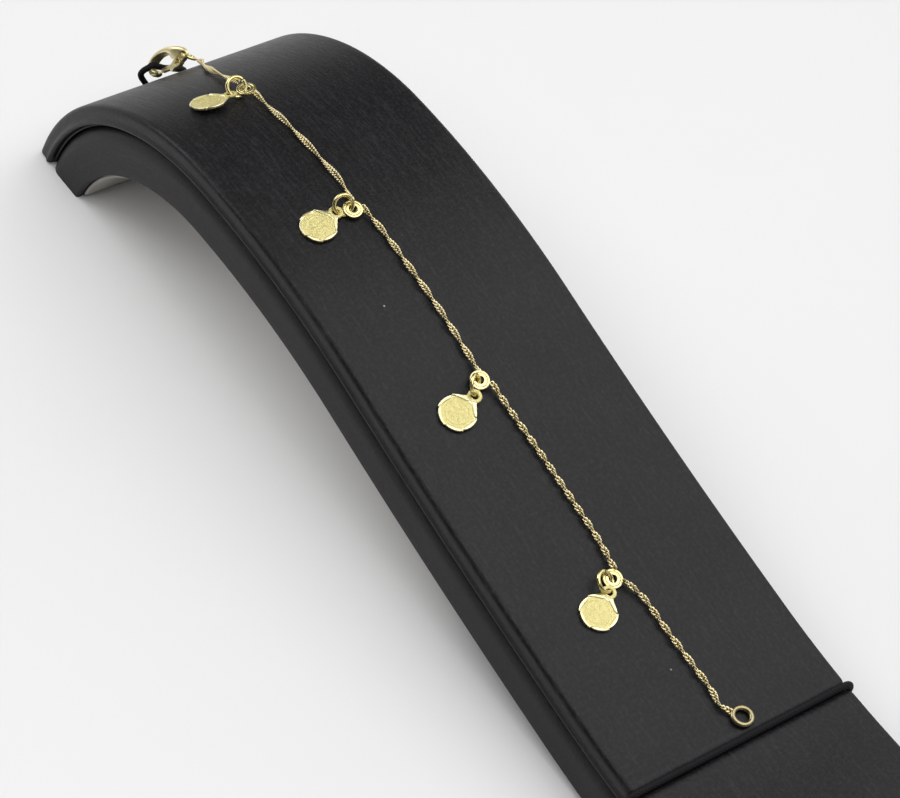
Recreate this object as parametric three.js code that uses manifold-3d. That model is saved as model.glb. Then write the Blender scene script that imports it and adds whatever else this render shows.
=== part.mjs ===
// Coin-charm bracelet laid open along a padded display ramp, in millimetres.
// X runs across the ramp, Y along it from the near toe to the far foot, Z up.
import * as THREE from "three";
import { mergeVertices } from "three/addons/utils/BufferGeometryUtils.js";
import Module from "manifold-3d";

const wasm = await Module();
wasm.setup();

// ---------------------------------------------------------------- driving dimensions

const GAP = 0.3;                    // clearance between neighbouring pieces
const TUBE_SIDES = 8;

const RAMP = {
  width: 48,
  coreThickness: 9.2,
  padThickness: 4.1,
  padCorner: 1.8,                   // rounding of the pad's long edges
  padCutHeight: 1,                  // the pad's far end stops this far above the floor
  liningThickness: 0.7,
  liningInset: 1.2,                 // the lining stops this far short of the core's sides
  liningFrom: 6.5,                    // distance along the top line where the lining starts
  liningTo: 158,
  farHeading: 76,                   // degrees, slope of the top line at the far foot
  tailLength: 12,                   // straight run below the floor that the floor cut removes
  step: 3.6,                        // facet length along the top line
};

// The pad's top line from the far foot to the near toe: tangent arcs in the Y-Z plane.
// A heading is the slope in degrees when moving towards the toe, positive uphill.
const RAMP_ARCS = [
  { length: 32.8, endHeading: 36.7 },
  { length: 36.1, endHeading: 0.9 },
  { length: 48.9, endHeading: -15.3 },
  { length: 70.4, endHeading: -10.8 },
  { length: 28.3, endHeading: 0 },
  { length: 14, endHeading: 0 },
];

const NEAR_CORD = {
  radius: 0.65,
  along: 204.9,                     // where it crosses the ramp, along the top line
  skew: 0.003,                      // how far it drifts along the ramp for each mm across
  rise: 0.15,                       // its centre above the pad's top
  cornerRadius: 2.4,
  underDepth: 0.95,                 // its centre inside the core's underside
};

const FAR_LOOP = { radius: 0.6, holeRadius: 1, pocket: { u: 7.95, v: 2.15, reach: 1.8 } };

// The far elastic loop leaves a blind hole on the right, runs straight through the clasp's
// hook and turns down into a blind hole on the left.
const FAR_LOOP_RIGHT = [
  { x: 6.4, along: 11.2, rise: -3.3 },
  { x: 6.4, along: 11.2, rise: 0.2 },
  { x: 6.2, along: 11.8, rise: 1.15 },
  { x: 5.3, along: 13.1, rise: 1.35 },
  { x: 4.1, along: 14.4, rise: 1.3 },
  { x: 2.8, along: 15.6, rise: 1.35 },
  { x: 1.5, along: 16.4, rise: 1.65 },
];
const FAR_LOOP_LEFT = [
  { x: -3.9, along: 18.0, rise: 3.0 },
  { x: -4.6, along: 17.0, rise: 2.9 },
  { x: -4.8, along: 15.8, rise: 2.6 },
  { x: -4.3, along: 14.6, rise: 2.0 },
  { x: -3.6, along: 13.6, rise: 1.3 },
  { x: -3.2, along: 13.0, rise: 0.3 },
  { x: -3.1, along: 12.8, rise: -3.3 },
];

const CHAIN = { radius: 0.7, lie: 1.0, step: 3.6 };

// Five lengths of chain, clasp to end ring, each given by points of its centre line.
const CHAIN_ROUTES = [
  [
    { x: 2.2, along: 26.9, rise: 1.2 },
    { x: 0.9, along: 30.2, rise: 1.0 },
    { x: -1.2, along: 35.2, rise: 1.0 },
    { x: -2.4, along: 41.0, rise: 1.0 },
    { x: -2.7, along: 47.9, rise: 1.3 },
  ],
  [
    { x: -2.6, along: 53.9, rise: 1.2 },
    { x: -3.0, along: 58.0, rise: 1.0 },
    { x: -3.05, along: 66.0, rise: 1.0 },
    { x: -2.8, along: 76.0, rise: 1.0 },
    { x: -2.75, along: 81.5, rise: 1.0 },
    { x: -3.5, along: 85.4, rise: 1.35 },
  ],
  [
    { x: -2.75, along: 89.6, rise: 1.35 },
    { x: -2.3, along: 93.0, rise: 1.0 },
    { x: -2.2, along: 103.0, rise: 1.0 },
    { x: -2.05, along: 113.0, rise: 1.0 },
    { x: -2.1, along: 121.0, rise: 1.0 },
    { x: -2.4, along: 125.4, rise: 1.4 },
  ],
  [
    { x: -1.5, along: 130.1, rise: 1.4 },
    { x: -1.2, along: 134.0, rise: 1.0 },
    { x: -0.85, along: 143.0, rise: 1.0 },
    { x: -0.75, along: 153.0, rise: 1.0 },
    { x: -0.85, along: 162.5, rise: 1.0 },
    { x: -1.6, along: 167.7, rise: 1.35 },
  ],
  [
    { x: -1.0, along: 172.2, rise: 1.35 },
    { x: 0.0, along: 175.2, rise: 1.0 },
    { x: 0.15, along: 182.0, rise: 1.0 },
    { x: 0.45, along: 190.0, rise: 1.0 },
    { x: 0.45, along: 195.2, rise: 1.0 },
    { x: 0.0, along: 197.6, rise: 1.0 },
    { x: 0.65, along: 199.3, rise: 1.0 },
  ],
];

const CONNECTOR = { outer: 1.8, hole: 1.05, thickness: 0.55, edge: 0.14, tilt: 8, tiltTurn: 45 };
// The connector and the coin's ear ride on the jump ring, off the centre of its wire.
const RIDE = { lift: 0.19, connectorBack: 0.1, coinOut: 0.08 };
const JUMP_RING = { outer: 2.2, wire: 0.3, opening: 9, openingTurn: 150 };
const COIN = {
  radius: 3.55,
  notch: 0.2,                       // depth of each step of the scalloped rim
  scallops: 6,
  thickness: 0.5,
  rim: 0.75,
  recess: 0.12,
  earRadius: 1.35,
  earHole: 0.88,
  earReach: 4.55,                   // coin centre to ear centre
};

// One row for each charm. Turns are degrees in the plane of the pad, from -X towards the toe.
//   x, along   centre of the connector ring
//   chord      direction from the connector's hole to the coin's ear
//   span       distance between those two holes
//   lean       how far the jump ring leans from upright, away from the toe
//   coinTurn   direction from the ear to the coin's centre
//   coinRoll   how far the coin rolls about that direction, far edge down
//   coinRise   extra height of the coin, for its roll
const CHARMS = [
  { x: -3.35, along: 51.3, chord: 3, span: 3.25, lean: 34, coinTurn: 1, coinRoll: 9, coinRise: 0.5 },
  { x: -4.75, along: 88.0, chord: -5, span: 3.23, lean: 38, coinTurn: 12, coinRoll: 0, coinRise: 0 },
  { x: -3.45, along: 127.9, chord: 43, span: 3.36, lean: 0, coinTurn: 16, coinRoll: 0, coinRise: 0 },
  { x: -3.0, along: 169.8, chord: 57, span: 3.17, lean: 42, coinTurn: 19, coinRoll: 0, coinRise: 0 },
];

const END_RING = { x: 2.3, along: 201.5, outer: 2.17, wire: 0.5 };

// The lobster clasp stands on its lever side, leaning a little. u runs from its tail to its nose, v away from
// the pad, w through its thickness.
const CLASP = {
  x: -1.1,
  along: 20.3,
  rise: 0.5,
  turn: 24,                         // degrees its nose swings towards -X
  roll: 20,                         // degrees its back leans towards +X
  length: 10.2,
  thickness: 2.6,
  bevel: 0.2,
  slot: 1.6,
  slotFrom: 1.45,
  slotTo: 4.6,
  slotTop: 2.7,
  eye: { u: 0.98, v: 2.4, radius: 0.66 },
  pivot: { u: 2.7, v: 1.4 },
  pinRadius: 0.3,
};
const CLASP_LEVER = { thickness: 1.0, bossRadius: 0.95, boreRadius: 0.6, tip: 7.0, low: 0.55, high: 1.25 };
const CLASP_RING = { outer: 1.6, wire: 0.3, dip: 38 };

// ---------------------------------------------------------------- materials

const metal = (color, roughness) => () =>
  new THREE.MeshStandardMaterial({ color, metalness: 1, roughness });
const plain = (color, roughness) => () =>
  new THREE.MeshStandardMaterial({ color, metalness: 0, roughness });
const chainGold = metal(0xdcc38c, 0.3);
const coinGold = metal(0xe6cf66, 0.35);
const ringGold = metal(0xe2cb7a, 0.22);
const leatherette = plain(0x2b292d, 0.6);
const board = plain(0x252427, 0.7);
const liningCard = plain(0xa29f97, 0.85);
const elastic = plain(0x121214, 0.75);

// ---------------------------------------------------------------- solids

const radians = THREE.MathUtils.degToRad;

// Merged, position-only copy of a closed geometry, its faces turned outwards.
function closedGeometry(geometry) {
  const bare = new THREE.BufferGeometry();
  bare.setAttribute("position", geometry.getAttribute("position").clone());
  if (geometry.index) bare.setIndex(geometry.index.clone());
  const merged = mergeVertices(bare, 1e-5);
  const points = merged.getAttribute("position");
  const index = merged.index.array;
  const [a, b, c] = [new THREE.Vector3(), new THREE.Vector3(), new THREE.Vector3()];
  const kept = [];
  let volume = 0;
  for (let i = 0; i < index.length; i += 3) {
    const [p, q, r] = [index[i], index[i + 1], index[i + 2]];
    if (p === q || q === r || r === p) continue;
    a.fromBufferAttribute(points, p);
    b.fromBufferAttribute(points, q);
    c.fromBufferAttribute(points, r);
    volume += a.dot(b.cross(c));
    kept.push(p, q, r);
  }
  if (volume < 0) kept.reverse();
  merged.setIndex(kept);
  return merged;
}

function toManifold(geometry) {
  const merged = closedGeometry(geometry);
  return new wasm.Manifold(new wasm.Mesh({
    numProp: 3,
    vertProperties: new Float32Array(merged.getAttribute("position").array),
    triVerts: new Uint32Array(merged.index.array),
  }));
}

function fromManifold(solid) {
  const mesh = solid.getMesh();
  const geometry = new THREE.BufferGeometry();
  geometry.setAttribute("position", new THREE.BufferAttribute(new Float32Array(mesh.vertProperties), 3));
  geometry.setIndex(new THREE.BufferAttribute(new Uint32Array(mesh.triVerts), 1));
  return geometry;
}

// body plus every added geometry, minus every cutter.
function combine(body, added = [], cutters = []) {
  let solid = toManifold(body);
  for (const piece of added) solid = solid.add(toManifold(piece));
  for (const cutter of cutters) solid = solid.subtract(toManifold(cutter));
  return fromManifold(solid);
}

function circleShape(radius, sides, turn = 0) {
  const points = [];
  for (let i = 0; i < sides; i += 1) {
    const angle = turn + (i / sides) * Math.PI * 2;
    points.push(new THREE.Vector2(Math.cos(angle) * radius, Math.sin(angle) * radius));
  }
  return new THREE.Shape(points);
}

function tube(points, radius, steps) {
  const path = new THREE.CatmullRomCurve3(points, false, "centripetal");
  const section = circleShape(radius, TUBE_SIDES, Math.PI / TUBE_SIDES);
  return new THREE.ExtrudeGeometry(section, { steps, bevelEnabled: false, extrudePath: path });
}

// A round wire bent to a circle in the plane of two unit vectors, with a fine saw cut.
function splitRing(centre, across, up, ring) {
  const mean = ring.outer - ring.wire;
  const cut = radians(ring.opening / 2);
  const points = [];
  const count = 24;
  for (let i = 0; i <= count; i += 1) {
    const angle = radians(ring.openingTurn) + cut + (i / count) * (Math.PI * 2 - 2 * cut);
    points.push(centre.clone()
      .addScaledVector(across, Math.cos(angle) * mean)
      .addScaledVector(up, Math.sin(angle) * mean));
  }
  return tube(points, ring.wire, 22);
}

function place(geometry, xAxis, yAxis, zAxis, origin) {
  const matrix = new THREE.Matrix4().makeBasis(xAxis, yAxis, zAxis).setPosition(origin);
  return geometry.applyMatrix4(matrix);
}

function box(low, high) {
  const size = high.clone().sub(low);
  const middle = low.clone().add(high).multiplyScalar(0.5);
  return new THREE.BoxGeometry(size.x, size.y, size.z).translate(middle.x, middle.y, middle.z);
}

// ---------------------------------------------------------------- the ramp's top line

const RAMP_LENGTH = RAMP_ARCS.reduce((sum, arc) => sum + arc.length, 0);
const RAMP_THICKNESS = RAMP.padThickness + GAP + RAMP.coreThickness;

// Moves a point along an arc whose heading changes evenly from start to end over length.
function alongArc(point, start, end, length, distance) {
  const bend = (end - start) / length;
  const heading = start + bend * distance;
  if (Math.abs(bend) < 1e-9) {
    return {
      y: point.y - Math.cos(heading) * distance,
      z: point.z + Math.sin(heading) * distance,
      heading,
    };
  }
  return {
    y: point.y - (Math.sin(heading) - Math.sin(start)) / bend,
    z: point.z - (Math.cos(heading) - Math.cos(start)) / bend,
    heading,
  };
}

// Start of every arc. The line is lowered so that the core's toe rests on the floor.
function rampJoints() {
  const joints = [{ y: 0, z: 0, heading: radians(RAMP.farHeading), at: 0 }];
  for (const arc of RAMP_ARCS) {
    const last = joints[joints.length - 1];
    const next = alongArc(last, last.heading, radians(arc.endHeading), arc.length, arc.length);
    joints.push({ ...next, at: last.at + arc.length });
  }
  const toe = joints[joints.length - 1];
  const drop = toe.z - RAMP_THICKNESS;
  const middle = toe.y / 2;
  return joints.map((joint) => ({ ...joint, y: joint.y - middle, z: joint.z - drop }));
}

const RAMP_JOINTS = rampJoints();

// Point and heading of the top line, which runs straight on beyond both ends.
function topLine(along) {
  const first = RAMP_JOINTS[0];
  const last = RAMP_JOINTS[RAMP_JOINTS.length - 1];
  if (along <= 0) return alongArc(first, first.heading, first.heading, 1, along);
  if (along >= last.at) return alongArc(last, last.heading, last.heading, 1, along - last.at);
  const i = RAMP_JOINTS.findIndex((joint) => joint.at > along) - 1;
  const [from, to] = [RAMP_JOINTS[i], RAMP_JOINTS[i + 1]];
  return alongArc(from, from.heading, to.heading, to.at - from.at, along - from.at);
}

// Unit vectors at a place on the ramp: across it, towards the toe, and out of the pad.
function rampFrame(along) {
  const { heading } = topLine(along);
  return {
    across: new THREE.Vector3(1, 0, 0),
    toe: new THREE.Vector3(0, -Math.cos(heading), Math.sin(heading)),
    out: new THREE.Vector3(0, Math.sin(heading), Math.cos(heading)),
  };
}

function onRamp({ x, along, rise }) {
  const { y, z } = topLine(along);
  return new THREE.Vector3(x, y, z).addScaledVector(rampFrame(along).out, rise);
}

// Direction in the plane of the pad, turned from -X towards the toe.
function padDirection(along, turn) {
  const { across, toe } = rampFrame(along);
  return across.multiplyScalar(-Math.cos(radians(turn))).addScaledVector(toe, Math.sin(radians(turn)));
}

// ---------------------------------------------------------------- stand

// A strip of the ramp's section between two depths under the top line, given its full width.
function rampStrip(from, to, topDepth, bottomDepth, width) {
  const count = Math.ceil((to - from) / RAMP.step);
  const upper = [];
  const lower = [];
  for (let i = 0; i <= count; i += 1) {
    const along = from + ((to - from) * i) / count;
    const top = onRamp({ x: 0, along, rise: -topDepth });
    const bottom = onRamp({ x: 0, along, rise: -bottomDepth });
    upper.push(new THREE.Vector2(top.y, top.z));
    lower.push(new THREE.Vector2(bottom.y, bottom.z));
  }
  const shape = new THREE.Shape([...upper, ...lower.reverse()]);
  const strip = new THREE.ExtrudeGeometry(shape, { depth: width, bevelEnabled: false });
  const yAxis = new THREE.Vector3(0, 1, 0);
  const zAxis = new THREE.Vector3(0, 0, 1);
  const xAxis = new THREE.Vector3(1, 0, 0);
  return place(strip, yAxis, zAxis, xAxis, new THREE.Vector3(-width / 2, 0, 0));
}

function slabBelow(height) {
  const reach = RAMP_LENGTH;
  return box(new THREE.Vector3(-reach, -reach, height - reach), new THREE.Vector3(reach, reach, height));
}

// Centre line of the near cord, a rounded rectangle round the slab, open by a gap below.
function nearCordRoute() {
  const { across, toe, out } = rampFrame(NEAR_CORD.along);
  const side = RAMP.width / 2 + GAP / 2 + NEAR_CORD.radius;
  const top = NEAR_CORD.rise;
  const bottom = -RAMP_THICKNESS + NEAR_CORD.underDepth;
  const r = NEAR_CORD.cornerRadius;
  const corners = [
    { x: side - r, rise: bottom + r, from: -90 },
    { x: side - r, rise: top - r, from: 0 },
    { x: -side + r, rise: top - r, from: 90 },
    { x: -side + r, rise: bottom + r, from: 180 },
  ];
  const flat = [{ x: GAP / 2, rise: bottom }, { x: side / 2, rise: bottom }];
  for (const corner of corners) {
    for (const turn of [0, 30, 60, 90]) {
      const angle = radians(corner.from + turn);
      flat.push({ x: corner.x + r * Math.cos(angle), rise: corner.rise + r * Math.sin(angle) });
    }
    if (corner.from === 0) flat.push({ x: side / 2, rise: top }, { x: 0, rise: top }, { x: -side / 2, rise: top });
  }
  flat.push({ x: -side / 2, rise: bottom }, { x: -GAP / 2, rise: bottom });
  const origin = onRamp({ x: 0, along: NEAR_CORD.along, rise: 0 });
  return flat.map(({ x, rise }) => origin.clone()
    .addScaledVector(across, x)
    .addScaledVector(toe, x * NEAR_CORD.skew)
    .addScaledVector(out, rise));
}

// Centre line of the far loop, whose middle stretch crosses the clasp at right angles.
function farLoopRoute() {
  const { u, v, w, origin } = claspFrame();
  const { pocket } = FAR_LOOP;
  const middle = [1, 0, -1].map((side) => origin.clone()
    .addScaledVector(u, pocket.u)
    .addScaledVector(v, pocket.v)
    .addScaledVector(w, side * pocket.reach));
  return [...FAR_LOOP_RIGHT.map(onRamp), ...middle, ...FAR_LOOP_LEFT.map(onRamp)];
}

const nearCordPoints = nearCordRoute();

// The near cord's channel round the slab, opened to the floor side by a slot.
function nearCordChannel() {
  const radius = NEAR_CORD.radius + GAP;
  const { across, toe, out } = rampFrame(NEAR_CORD.along);
  const slanted = across.addScaledVector(toe, NEAR_CORD.skew);
  const middle = onRamp({ x: 0, along: NEAR_CORD.along, rise: NEAR_CORD.underDepth - RAMP_THICKNESS });
  const slot = box(new THREE.Vector3(-RAMP.width, -radius, -4), new THREE.Vector3(RAMP.width, radius, radius));
  return [tube(nearCordPoints, radius, 60), place(slot, slanted, toe.negate(), out, middle)];
}


// Blind hole in the pad for one end of the far loop.
function eyelet({ x, along, rise }) {
  const ends = [onRamp({ x, along, rise: rise - GAP }), onRamp({ x, along, rise: 2 })];
  return tube(ends, FAR_LOOP.holeRadius, 1);
}

function standCore() {
  const top = RAMP.padThickness + GAP;
  const strip = rampStrip(-RAMP.tailLength, RAMP_LENGTH, top, RAMP_THICKNESS, RAMP.width);
  return combine(strip, [], [slabBelow(0), ...nearCordChannel()]);
}

function undersideLining() {
  const top = RAMP_THICKNESS + GAP;
  const width = RAMP.width - 2 * RAMP.liningInset;
  return combine(rampStrip(RAMP.liningFrom, RAMP.liningTo, top, top + RAMP.liningThickness, width));
}

function standPad() {
  const half = RAMP.width / 2;
  const r = RAMP.padCorner;
  const section = [];
  const arcPoints = 3;
  for (const side of [1, -1]) {
    for (let i = 0; i <= arcPoints; i += 1) {
      const angle = ((side > 0 ? i : arcPoints - i) / arcPoints) * (Math.PI / 2);
      section.push(new THREE.Vector2(side * (half - r + r * Math.cos(angle)), r - r * Math.sin(angle)));
    }
  }
  section.push(new THREE.Vector2(-half, RAMP.padThickness), new THREE.Vector2(half, RAMP.padThickness));
  class TopLine extends THREE.Curve {
    getPoint(t, target = new THREE.Vector3()) {
      const along = -RAMP.tailLength + t * (RAMP_LENGTH + RAMP.tailLength);
      return target.copy(onRamp({ x: 0, along, rise: 0 }));
    }
  }
  const steps = Math.ceil(RAMP_LENGTH / RAMP.step);
  const path = new TopLine();
  const shape = new THREE.Shape(section);
  const pad = new THREE.ExtrudeGeometry(shape, { steps, bevelEnabled: false, extrudePath: path });
  const holes = [FAR_LOOP_RIGHT[0], FAR_LOOP_LEFT[FAR_LOOP_LEFT.length - 1]].map(eyelet);
  return combine(pad, [], [slabBelow(RAMP.padCutHeight), ...nearCordChannel(), ...holes]);
}

// ---------------------------------------------------------------- chain and rings

function chainLength(route) {
  const points = route.map(onRamp);
  const length = new THREE.CatmullRomCurve3(points, false, "centripetal").getLength();
  return tube(points, CHAIN.radius, Math.ceil(length / CHAIN.step));
}

// Any two unit vectors that make a right-handed set with the given one.
function basisAround(normal, hint) {
  const side = new THREE.Vector3().crossVectors(hint, normal).normalize();
  const ahead = new THREE.Vector3().crossVectors(normal, side);
  return { side, ahead };
}

function connectorRing(centre, normal, hint) {
  const { outer, hole, thickness, edge } = CONNECTOR;
  const h = thickness / 2;
  const profile = [
    [hole, -h + edge], [hole + edge, -h], [outer - edge, -h], [outer, -h + edge],
    [outer, h - edge], [outer - edge, h], [hole + edge, h], [hole, h - edge], [hole, -h + edge],
  ].map(([r, y]) => new THREE.Vector2(r, y));
  const ring = closedGeometry(new THREE.LatheGeometry(profile, 24));
  const { side, ahead } = basisAround(normal, hint);
  return place(ring, side, normal, ahead.negate(), centre);
}

function closedRing(outer, wire, side, ahead, normal, centre) {
  const ring = closedGeometry(new THREE.TorusGeometry(outer - wire, wire, TUBE_SIDES, 24));
  return place(ring, side, ahead, normal, centre);
}

// Scalloped coin outline: each segment swells outwards and steps back in at its end.
function coinOutline() {
  const points = [];
  const perScallop = 5;
  for (let k = 0; k < COIN.scallops; k += 1) {
    for (let i = 0; i <= perScallop; i += 1) {
      const share = i / perScallop;
      const angle = ((k + share * 0.985) / COIN.scallops) * Math.PI * 2;
      const radius = COIN.radius - COIN.notch * (1 - share);
      points.push(new THREE.Vector2(Math.cos(angle) * radius, Math.sin(angle) * radius));
    }
  }
  return new THREE.Shape(points);
}

// Coin with its ear, centred on the ear's hole, the ear towards +X and its face towards +Z.
function coinGeometry() {
  const depth = COIN.thickness;
  const flat = { depth, bevelEnabled: false };
  const disc = new THREE.ExtrudeGeometry(coinOutline(), flat).translate(-COIN.earReach, 0, -depth / 2);
  const earShape = circleShape(COIN.earRadius, 20);
  const ear = new THREE.ExtrudeGeometry(earShape, flat).translate(0, 0, -depth / 2);
  const hole = new THREE.CylinderGeometry(COIN.earHole, COIN.earHole, 2 * depth, 14).rotateX(Math.PI / 2);
  const dishRadius = COIN.radius - COIN.rim;
  const dish = new THREE.CylinderGeometry(dishRadius, dishRadius, 2 * COIN.recess, 30)
    .rotateX(Math.PI / 2)
    .translate(-COIN.earReach, 0, depth / 2);
  return combine(disc, [ear], [hole, dish]);
}

// Geometry of one charm: connector ring, jump ring and coin, worked out from its row.
function charm(row) {
  const { out } = rampFrame(row.along);
  const chord = padDirection(row.along, row.chord);
  const away = padDirection(row.along, row.chord - 90);
  const mean = JUMP_RING.outer - JUMP_RING.wire;
  const rise = Math.sqrt(mean * mean - (row.span * row.span) / 4);
  const lean = radians(row.lean);
  const up = out.clone().multiplyScalar(Math.cos(lean)).addScaledVector(away, Math.sin(lean));
  const holeRise = GAP + (JUMP_RING.outer - rise) * Math.cos(lean);
  const hole = onRamp({ x: row.x, along: row.along, rise: holeRise });
  const connector = hole.clone().addScaledVector(out, RIDE.lift).addScaledVector(chord, -RIDE.connectorBack);
  const ear = hole.clone().addScaledVector(out, RIDE.lift).addScaledVector(chord, row.span + RIDE.coinOut);
  const ringCentre = hole.clone().addScaledVector(chord, row.span / 2).addScaledVector(up, rise);

  const low = padDirection(row.along, CONNECTOR.tiltTurn);
  const connectorNormal = out.clone().multiplyScalar(Math.cos(radians(CONNECTOR.tilt)))
    .addScaledVector(low, Math.sin(radians(CONNECTOR.tilt)));

  const outwards = padDirection(row.along, row.coinTurn);
  const rest = GAP + COIN.thickness / 2 + row.coinRise;
  const slope = Math.asin((holeRise + RIDE.lift - rest) / (COIN.earReach + COIN.radius));
  const downhill = outwards.clone().multiplyScalar(Math.cos(slope)).addScaledVector(out, -Math.sin(slope));
  const level = out.clone().multiplyScalar(Math.cos(slope)).addScaledVector(outwards, Math.sin(slope));
  const sideways = new THREE.Vector3().crossVectors(level, downhill);
  const roll = radians(row.coinRoll);
  const face = level.clone().multiplyScalar(Math.cos(roll)).addScaledVector(sideways, -Math.sin(roll));
  const coinAcross = new THREE.Vector3().crossVectors(face, downhill.clone().negate());

  return {
    connector_ring: connectorRing(connector, connectorNormal, low),
    jump_ring: splitRing(ringCentre, chord, up, JUMP_RING),
    coin: place(coinGeometry(), downhill.clone().negate(), coinAcross, face, ear),
  };
}

// ---------------------------------------------------------------- clasp

// The clasp's frame, its origin under the middle of its length.
function claspFrame() {
  const { toe, across, out } = rampFrame(CLASP.along);
  const turn = radians(CLASP.turn);
  const u = toe.multiplyScalar(-Math.cos(turn)).addScaledVector(across, -Math.sin(turn));
  const side = new THREE.Vector3().crossVectors(u, out);
  const roll = radians(CLASP.roll);
  const v = out.multiplyScalar(Math.cos(roll)).addScaledVector(side, Math.sin(roll));
  const w = new THREE.Vector3().crossVectors(u, v);
  const origin = onRamp(CLASP).addScaledVector(u, -CLASP.length / 2);
  return { u, v, w, origin };
}

const inClasp = (geometry) => {
  const { u, v, w, origin } = claspFrame();
  return place(geometry, u, v, w, origin);
};

function extruded(shape, thickness, bevel = 0) {
  const settings = { depth: thickness - 2 * bevel, bevelEnabled: bevel > 0 };
  Object.assign(settings, { bevelThickness: bevel, bevelSize: bevel, bevelOffset: -bevel, bevelSegments: 1 });
  return new THREE.ExtrudeGeometry(shape, settings).translate(0, 0, -thickness / 2 + bevel);
}

function pinAt({ u, v }, radius, length) {
  return new THREE.CylinderGeometry(radius, radius, length, 12).rotateX(Math.PI / 2).translate(u, v, 0);
}

// Side view of the claw: round the back from the tail, over the nose to its lip, and back
// along the inside of the hook.
function clawOutline() {
  const back = [
    [0.5, 1.4], [0, 2.4], [0.6, 3.5], [2.2, 4.4], [4.6, 4.95], [7.2, 4.75], [9.2, 3.8],
    [10.2, 2.3], [9.85, 0.9], [8.8, 0.25], [7.6, 0.25],
  ].map(([u, v]) => new THREE.Vector2(u, v));
  const inside = [
    [7.35, 0.95], [8.3, 1.32], [8.85, 2.1], [8.5, 3.05], [7.3, 3.65], [5.8, 3.8],
    [4.5, 3.5], [4.0, 2.7], [3.9, 1.7], [3.5, 0.8],
  ].map(([u, v]) => new THREE.Vector2(u, v));
  const shape = new THREE.Shape();
  shape.setFromPoints([
    ...new THREE.SplineCurve(back).getPoints(26),
    ...new THREE.SplineCurve(inside).getPoints(22),
    new THREE.Vector2(2.4, 0.42),
  ]);
  return shape;
}

function claspBody() {
  const claw = extruded(clawOutline(), CLASP.thickness, CLASP.bevel);
  const slot = box(
    new THREE.Vector3(CLASP.slotFrom, -CLASP.length, -CLASP.slot / 2),
    new THREE.Vector3(CLASP.slotTo, CLASP.slotTop, CLASP.slot / 2),
  );
  const eye = pinAt(CLASP.eye, CLASP.eye.radius, 2 * CLASP.thickness);
  const tailSides = [1, -1].map((side) => box(
    new THREE.Vector3(-1, 0, side > 0 ? 0.55 : -CLASP.thickness),
    new THREE.Vector3(1.75, 6, side > 0 ? CLASP.thickness : -0.55),
  ));
  const pin = pinAt(CLASP.pivot, CLASP.pinRadius, CLASP.thickness - 0.1);
  const body = combine(claw, [], [slot, eye, ...tailSides]);
  return inClasp(combine(body, [pin]));
}

function claspLever() {
  const { u, v } = CLASP.pivot;
  const { thickness, bossRadius, boreRadius, tip, low, high } = CLASP_LEVER;
  const arm = new THREE.Shape([
    [u, v - bossRadius], [3.6, low - 0.1], [4.1, 0.02], [4.6, 0.08], [4.9, low], [tip, low + 0.05],
    [tip, high - 0.2], [tip - 0.3, high], [4.4, high + 0.15], [u + 0.7, v + 0.6], [u, v + bossRadius],
  ].map(([a, b]) => new THREE.Vector2(a, b)));
  const boss = pinAt(CLASP.pivot, bossRadius, thickness);
  const bore = pinAt(CLASP.pivot, boreRadius, 2 * thickness);
  return inClasp(combine(extruded(arm, thickness), [boss], [bore]));
}

function claspRing() {
  const { u, v, w, origin } = claspFrame();
  const dip = radians(CLASP_RING.dip);
  const back = u.clone().multiplyScalar(-Math.cos(dip)).addScaledVector(v, -Math.sin(dip));
  const mean = CLASP_RING.outer - CLASP_RING.wire;
  const centre = origin.clone()
    .addScaledVector(u, CLASP.eye.u)
    .addScaledVector(v, CLASP.eye.v)
    .addScaledVector(back, mean);
  const normal = new THREE.Vector3().crossVectors(w, back);
  return closedRing(CLASP_RING.outer, CLASP_RING.wire, w, back, normal, centre);
}

function endRing() {
  const { across, toe, out } = rampFrame(END_RING.along);
  const centre = onRamp({ ...END_RING, rise: GAP + END_RING.wire });
  return closedRing(END_RING.outer, END_RING.wire, across, toe.negate(), out, centre);
}

// ---------------------------------------------------------------- assembly

const model = new THREE.Group();

function add(name, geometry, material) {
  const mesh = new THREE.Mesh(closedGeometry(geometry), material());
  mesh.name = name;
  model.add(mesh);
}

add("stand_core", standCore(), board);
add("stand_pad", standPad(), leatherette);
add("underside_lining", undersideLining(), liningCard);
add("elastic_cord_near", tube(nearCordPoints, NEAR_CORD.radius, 60), elastic);
add("elastic_loop_far", tube(farLoopRoute(), FAR_LOOP.radius, 28), elastic);
CHAIN_ROUTES.forEach((route, i) => add(`chain_${i + 1}`, chainLength(route), chainGold));
CHARMS.forEach((row, i) => {
  const pieces = charm(row);
  add(`connector_ring_${i + 1}`, pieces.connector_ring, ringGold);
  add(`jump_ring_${i + 1}`, pieces.jump_ring, ringGold);
  add(`coin_${i + 1}`, pieces.coin, coinGold);
});
add("end_ring", endRing(), ringGold);
add("clasp_ring", claspRing(), ringGold);
add("clasp_body", claspBody(), ringGold);
add("clasp_lever", claspLever(), ringGold);

// The part's origin is the middle of the whole box, on the floor.
const bounds = new THREE.Box3().setFromObject(model, true);
const middle = bounds.getCenter(new THREE.Vector3());
for (const mesh of model.children) mesh.geometry.translate(-middle.x, -middle.y, -bounds.min.z);

export default model;
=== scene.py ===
"""Visual model of a coin-charm bracelet laid open along a padded display ramp."""
import logging
from dataclasses import dataclass, field
from enum import Enum
from typing import Callable, Optional, Sequence

import bmesh
import bpy
import numpy as np
from mathutils import Matrix, Vector


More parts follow.
